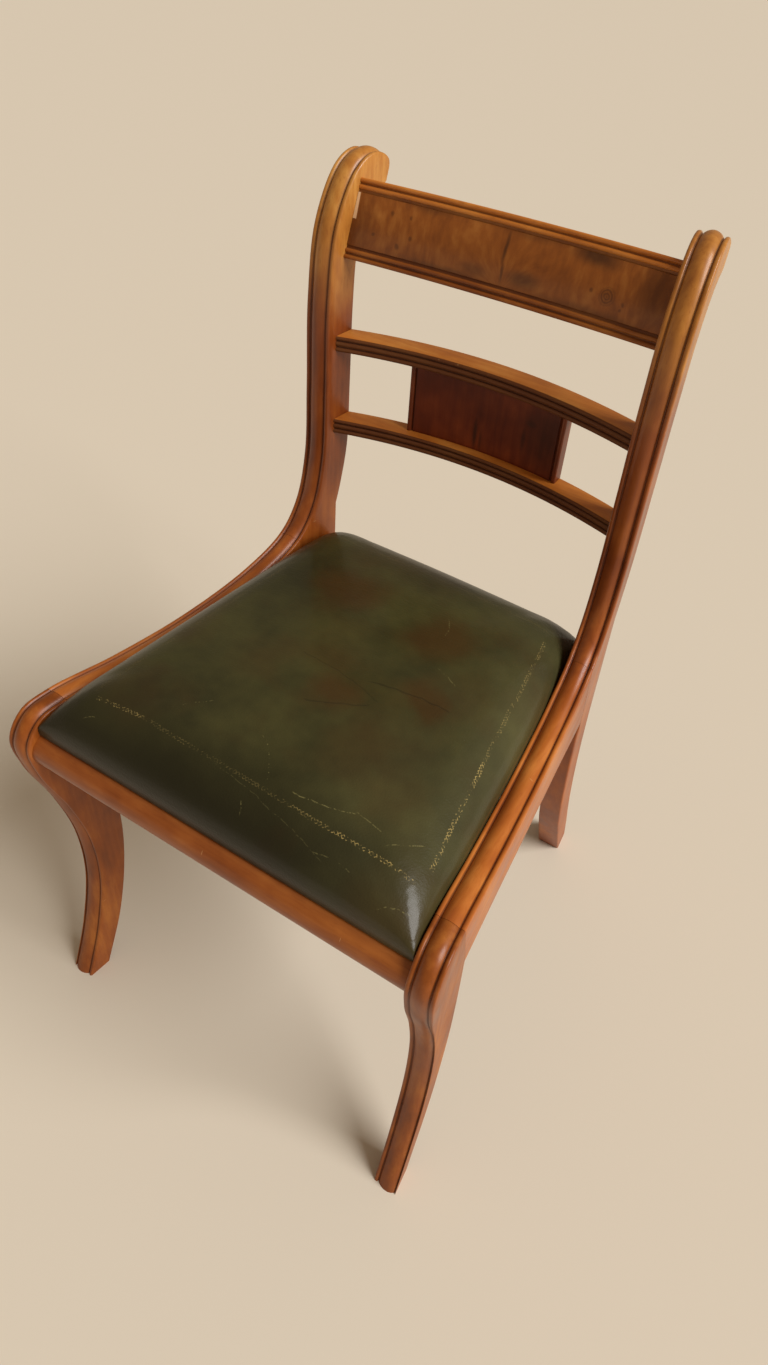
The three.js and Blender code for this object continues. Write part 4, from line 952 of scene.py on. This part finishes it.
def woven(name, warp_colour, weft_colour, thread):
    """Plain weave: waves at right angles, one thread to each length given in millimetres."""
    material, add, shader = new_material(name)
    place = add("TexCoord", out="Object")
    waves = math.tau / (2 * thread * MM * 20)
    warp = add("TexWave", {"Vector": place, "Scale": waves}, bands_direction="X")
    weft = add("TexWave", {"Vector": place, "Scale": waves}, bands_direction="Y")
    over = add("Math", {0: warp, 1: weft}, **TIMES)
    colour = add("Mix", {0: over, 6: warp_colour, 7: weft_colour}, **COLOUR)
    relief = add("Bump", {"Strength": 0.3, "Distance": 0.0004, "Height": over})
    plug(shader, {"Base Color": colour, "Roughness": 0.9, "Normal": relief})
    return material


def plated_steel(name):
    """Zinc plated screw steel: a dull metal with fine turning marks."""
    material, add, shader = new_material(name)
    mark = add("TexNoise", {"Vector": add("TexCoord", out="Object"), "Scale": 900, "Detail": 2})
    colour = add("ValToRGB", {0: mark}, stops=[(0.3, "#a39a80"), (0.7, "#c2bba3")])
    rough = add("MapRange", {0: mark, 3: 0.3, 4: 0.45})
    plug(shader, {"Base Color": colour, "Roughness": rough, "Metallic": 1})
    return material


# Places and sizes of the marks, in millimetres. Pairs are x and z on the veneers, x and y on the seat
FAN_ROOT = (3, 188, 772)
VENEER_SMOKE = [
    (-158, 795, 34, 45, 0.4), (-78, 822, 34, 12, 0.6), (-25, 781, 22, 8, 0.4), (24, 783, 24, 10, 0.6),
    (1, 806, 3, 20, 0.75), (2, 786, 2.5, 12, 0.6), (84, 817, 34, 12, 0.85), (145, 800, 26, 40, 0.35),
    (30, 820, 60, 7, 0.35), (-60, 774, 60, 7, 0.5), (90, 774, 80, 7, 0.4),
]
PIN_KNOTS = [(-118, 808, 3), (-98, 808, 2.4), (-134, 788, 2.6), (-95, 792, 2.8), (-107, 783, 3.2),
             (88, 791.5, 2.6), (119, 787.5, 2.2), (118, 783, 1.8)]
RINGED_KNOT, KNOT_RING = (103, 790, 9), 2.4
BARE_END, BARE_ABOVE = (-154.3, -155.2), 797
TABLET_SMOKE = [(-11, 614, 4, 26, 0.7), (-4, 608, 3, 18, 0.5), (74, 640, 46, 60, 0.55), (52, 646, 14, 8, 0.6),
                (44, 626, 5, 22, 0.6), (0, 672, 95, 10, 0.5)]
BAND_WANDER, WORN_BELOW = 80, (400, 280)
RAIL_CHIPS = [(-53, 189.5, 688, 1.8), (-32, 190.8, 688, 2.4), (1, 192.2, 688, 1.9), (-27, 190.8, 675.5, 2)]
# The first x span is where the seat's painted sheen rises towards the right.
# The y span is where the seat's painted front shade deepens, and the second x span where it eases off to the
# right.
PAINTED_SHEEN_X, PAINTED_SHADE_X, PAINTED_SHADE_Y = (30, 150), (60, 180), (-180, -238)
BORDER_REPEAT, BORDER_SWING, BORDER_WIDTHS = 7.0, 1.5, (0.65, 0.25)
BORDER = [((-162, -213), (-105, -209), 0.55), ((-107, -209), (60, -212), 0.2), ((58, -212), (100, -212), 0.5),
          ((98, -212), (184, -211), 0.9), ((187, -192), (168, -66), 0.9), ((168, -66), (143, 112), 0.45),
          ((140, 126), (-128, 126), 0.1), ((-130, 124), (-168, -208), 0.12)]
GLAZE_CRACKS = [
    ((-5, -166), (30, -203), 4, 0.7, 0.6), ((53, -200), (113, -188), -4, 0.7, 0.6),
    ((110, -187), (140, -193), 2, 0.7, 0.45), ((146, -201), (173, -177), -1, 0.7, 0.45),
    ((97, -233), (138, -232), 2, 0.6, 0.35), ((166, -244), (194, -232), 2, 0.7, 0.5),
    ((-97, -193), (-64, -158), 2, 0.6, 0.3), ((19, -227), (26, -237), 1, 0.7, 0.4),
    ((-160, -234), (-147, -228), 1, 0.6, 0.4), ((77, 0), (106, -12), 2, 0.8, 0.3),
    ((49, 72), (61, 43), 3, 0.8, 0.3), ((-20, -213), (110, -236), 3, 0.5, 0.15),
]
CREASES = [((34, -57), (119, -43), 3, 1.4, 0.7), ((-2, -112), (54, -80), -3, 1.4, 0.6),
           ((-40, -60), (60, -75), 4, 1.2, 0.4)]
PALE_SPECKS = [(-31, 23, 478, 1.8), (58, 97, 478, 1.8), (-73, -109, 481, 1.7), (35, -170, 481, 1.3),
               (40, -150, 481, 1.2)]
WORN_PATCHES = [(-60, 50, 478, 60), (62, 40, 478, 55), (92, -44, 478, 45), (13, -86, 481, 40),
                (66, -236, 455, 22)]

# The wooden frame
GOLDEN = ("#8f5420", "#ae702d", "#c98f45")
RED_BROWN = ("#662b0a", "#823e12", "#9c531d")
RUSSET = ("#73380e", "#8d4917", "#a66125")
RUST = ("#7c3a10", "#964c19", "#ae6226")
WARM_BROWN = ("#703610", "#8a4b18", "#a56426")
ORANGE = ("#93481a", "#ac5f22", "#c27632")
CHESTNUT = ("#7a3b13", "#934e1d", "#ab6329")
AMBER = ("#a85d21", "#c2752d", "#d68e40")
DARK_BROWN = ("#521f08", "#6a2c0e", "#82401a")
POST_BANDS = [(2, 470, 560, RED_BROWN), (2, 690, 790, GOLDEN)]
post_wood = stained_wood("posts", "z", RUST, 0.33, POST_BANDS)
side_wood = stained_wood("side_rails", "y", ORANGE, bands=[(1, 10, 115, RUST)])
leg_wood = stained_wood("legs", "z", RUSSET, 0.25)
crest_wood = stained_wood("crest", "x", WARM_BROWN, bands=[(2, 800, 814, AMBER)])
rail_wood = stained_wood("cross_rails", "x", AMBER, chips=RAIL_CHIPS)
tablet_wood = stained_wood("tablet", "z", DARK_BROWN)
front_wood = stained_wood("front_rail", "x", CHESTNUT)


def shown(piece, node, material):
    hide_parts(node)
    dress(piece, material)
    return piece


for side, word in ((-1, "left"), (1, "right")):
    shown(back_post(side, f"{word}_shaped_post"), f"{word}_back_post", post_wood)
    rail = side_piece(f"{word}_shaped_side_rail", side, shifted(rail_top, -JOINT_GAP, JOINT_GAP),
                      shifted(rail_bottom, -JOINT_GAP, JOINT_GAP), post_end)
    shown(rail, f"{word}_side_rail", side_wood)
    leg = side_piece(f"{word}_shaped_front_leg", side, leg_front, leg_back, rail_end)
    shown(leg, f"{word}_front_leg", leg_wood)

shown(crest_rail("shaped_crest_rail"), "crest_rail", crest_wood)
shown(crest_panel("crest_veneer"), "crest_panel", walnut_veneer("feather_walnut_veneer"))
shown(cross_rail("shaped_upper_cross_rail", UPPER_RAIL_TOP), "upper_cross_rail", rail_wood)
shown(cross_rail("shaped_lower_cross_rail", LOWER_RAIL_TOP), "lower_cross_rail", rail_wood)
shown(centre_tablet("shaped_tablet"), "centre_tablet", tablet_wood)
shown(tablet_panel("tablet_veneer"), "tablet_panel", mahogany_veneer("plain_mahogany_veneer"))
shown(front_rail("shaped_front_rail"), "front_seat_rail", front_wood)

seat = shown(leather_seat("leather_seat"), "seat_cushion", aged_leather("green_glazed_hide"))

beech = raw_beech("planed_beech")
webbing = woven("jute_webbing", "#7d6238", "#b89a66", 2.0)
lining = woven("black_lining", "#0d0c0b", "#23201d", 1.0)
steel = plated_steel("zinc_plated_steel")
CARRIED = {"block": beech, "dowel": beech, "frame": beech, "strap": webbing, "cloth": lining, "screw": steel,
           "rear_seat_rail": front_wood}
for node_name, node in nodes.items():
    if not node.hide_render:
        dress(node, next(material for word, material in CARRIED.items() if word in node_name))


# Floor, world and lamps
FLOOR_REACH = 60.0
SUN_FROM = Vector((0.76, 0.02, 0.62))
SUN_STRENGTH, SUN_WIDTH = 3.45, 38
WORLD_STRENGTH = 0.3


def make_floor():
    mesh = bpy.data.meshes.new("floor")
    corners = [(x * FLOOR_REACH, y * FLOOR_REACH, 0) for x, y in ((-1, -1), (1, -1), (1, 1), (-1, 1))]
    mesh.from_pydata(corners, [], [(0, 1, 2, 3)])
    floor = new_object("floor", mesh)
    material, _, shader = new_material("pale_floor")
    plug(shader, {"Base Color": "#dacebb", "Roughness": 0.8})
    dress(floor, material)


def make_light():
    """An even sky and one broad sun from the right."""
    world = bpy.data.worlds.new("room")
    world.use_nodes = True
    world.node_tree.nodes.clear()
    background = put(world.node_tree, "Background", {0: "#ffe9cc", 1: WORLD_STRENGTH})
    put(world.node_tree, "OutputWorld", {0: background})
    bpy.context.scene.world = world
    data = bpy.data.lights.new("sun", "SUN")
    data.energy, data.angle = SUN_STRENGTH, math.radians(SUN_WIDTH)
    lamp = new_object("sun", data)
    lamp.rotation_euler = SUN_FROM.to_track_quat("Z", "Y").to_euler()


make_floor()
make_light()

bpy.context.scene.view_settings.view_transform = "Standard"
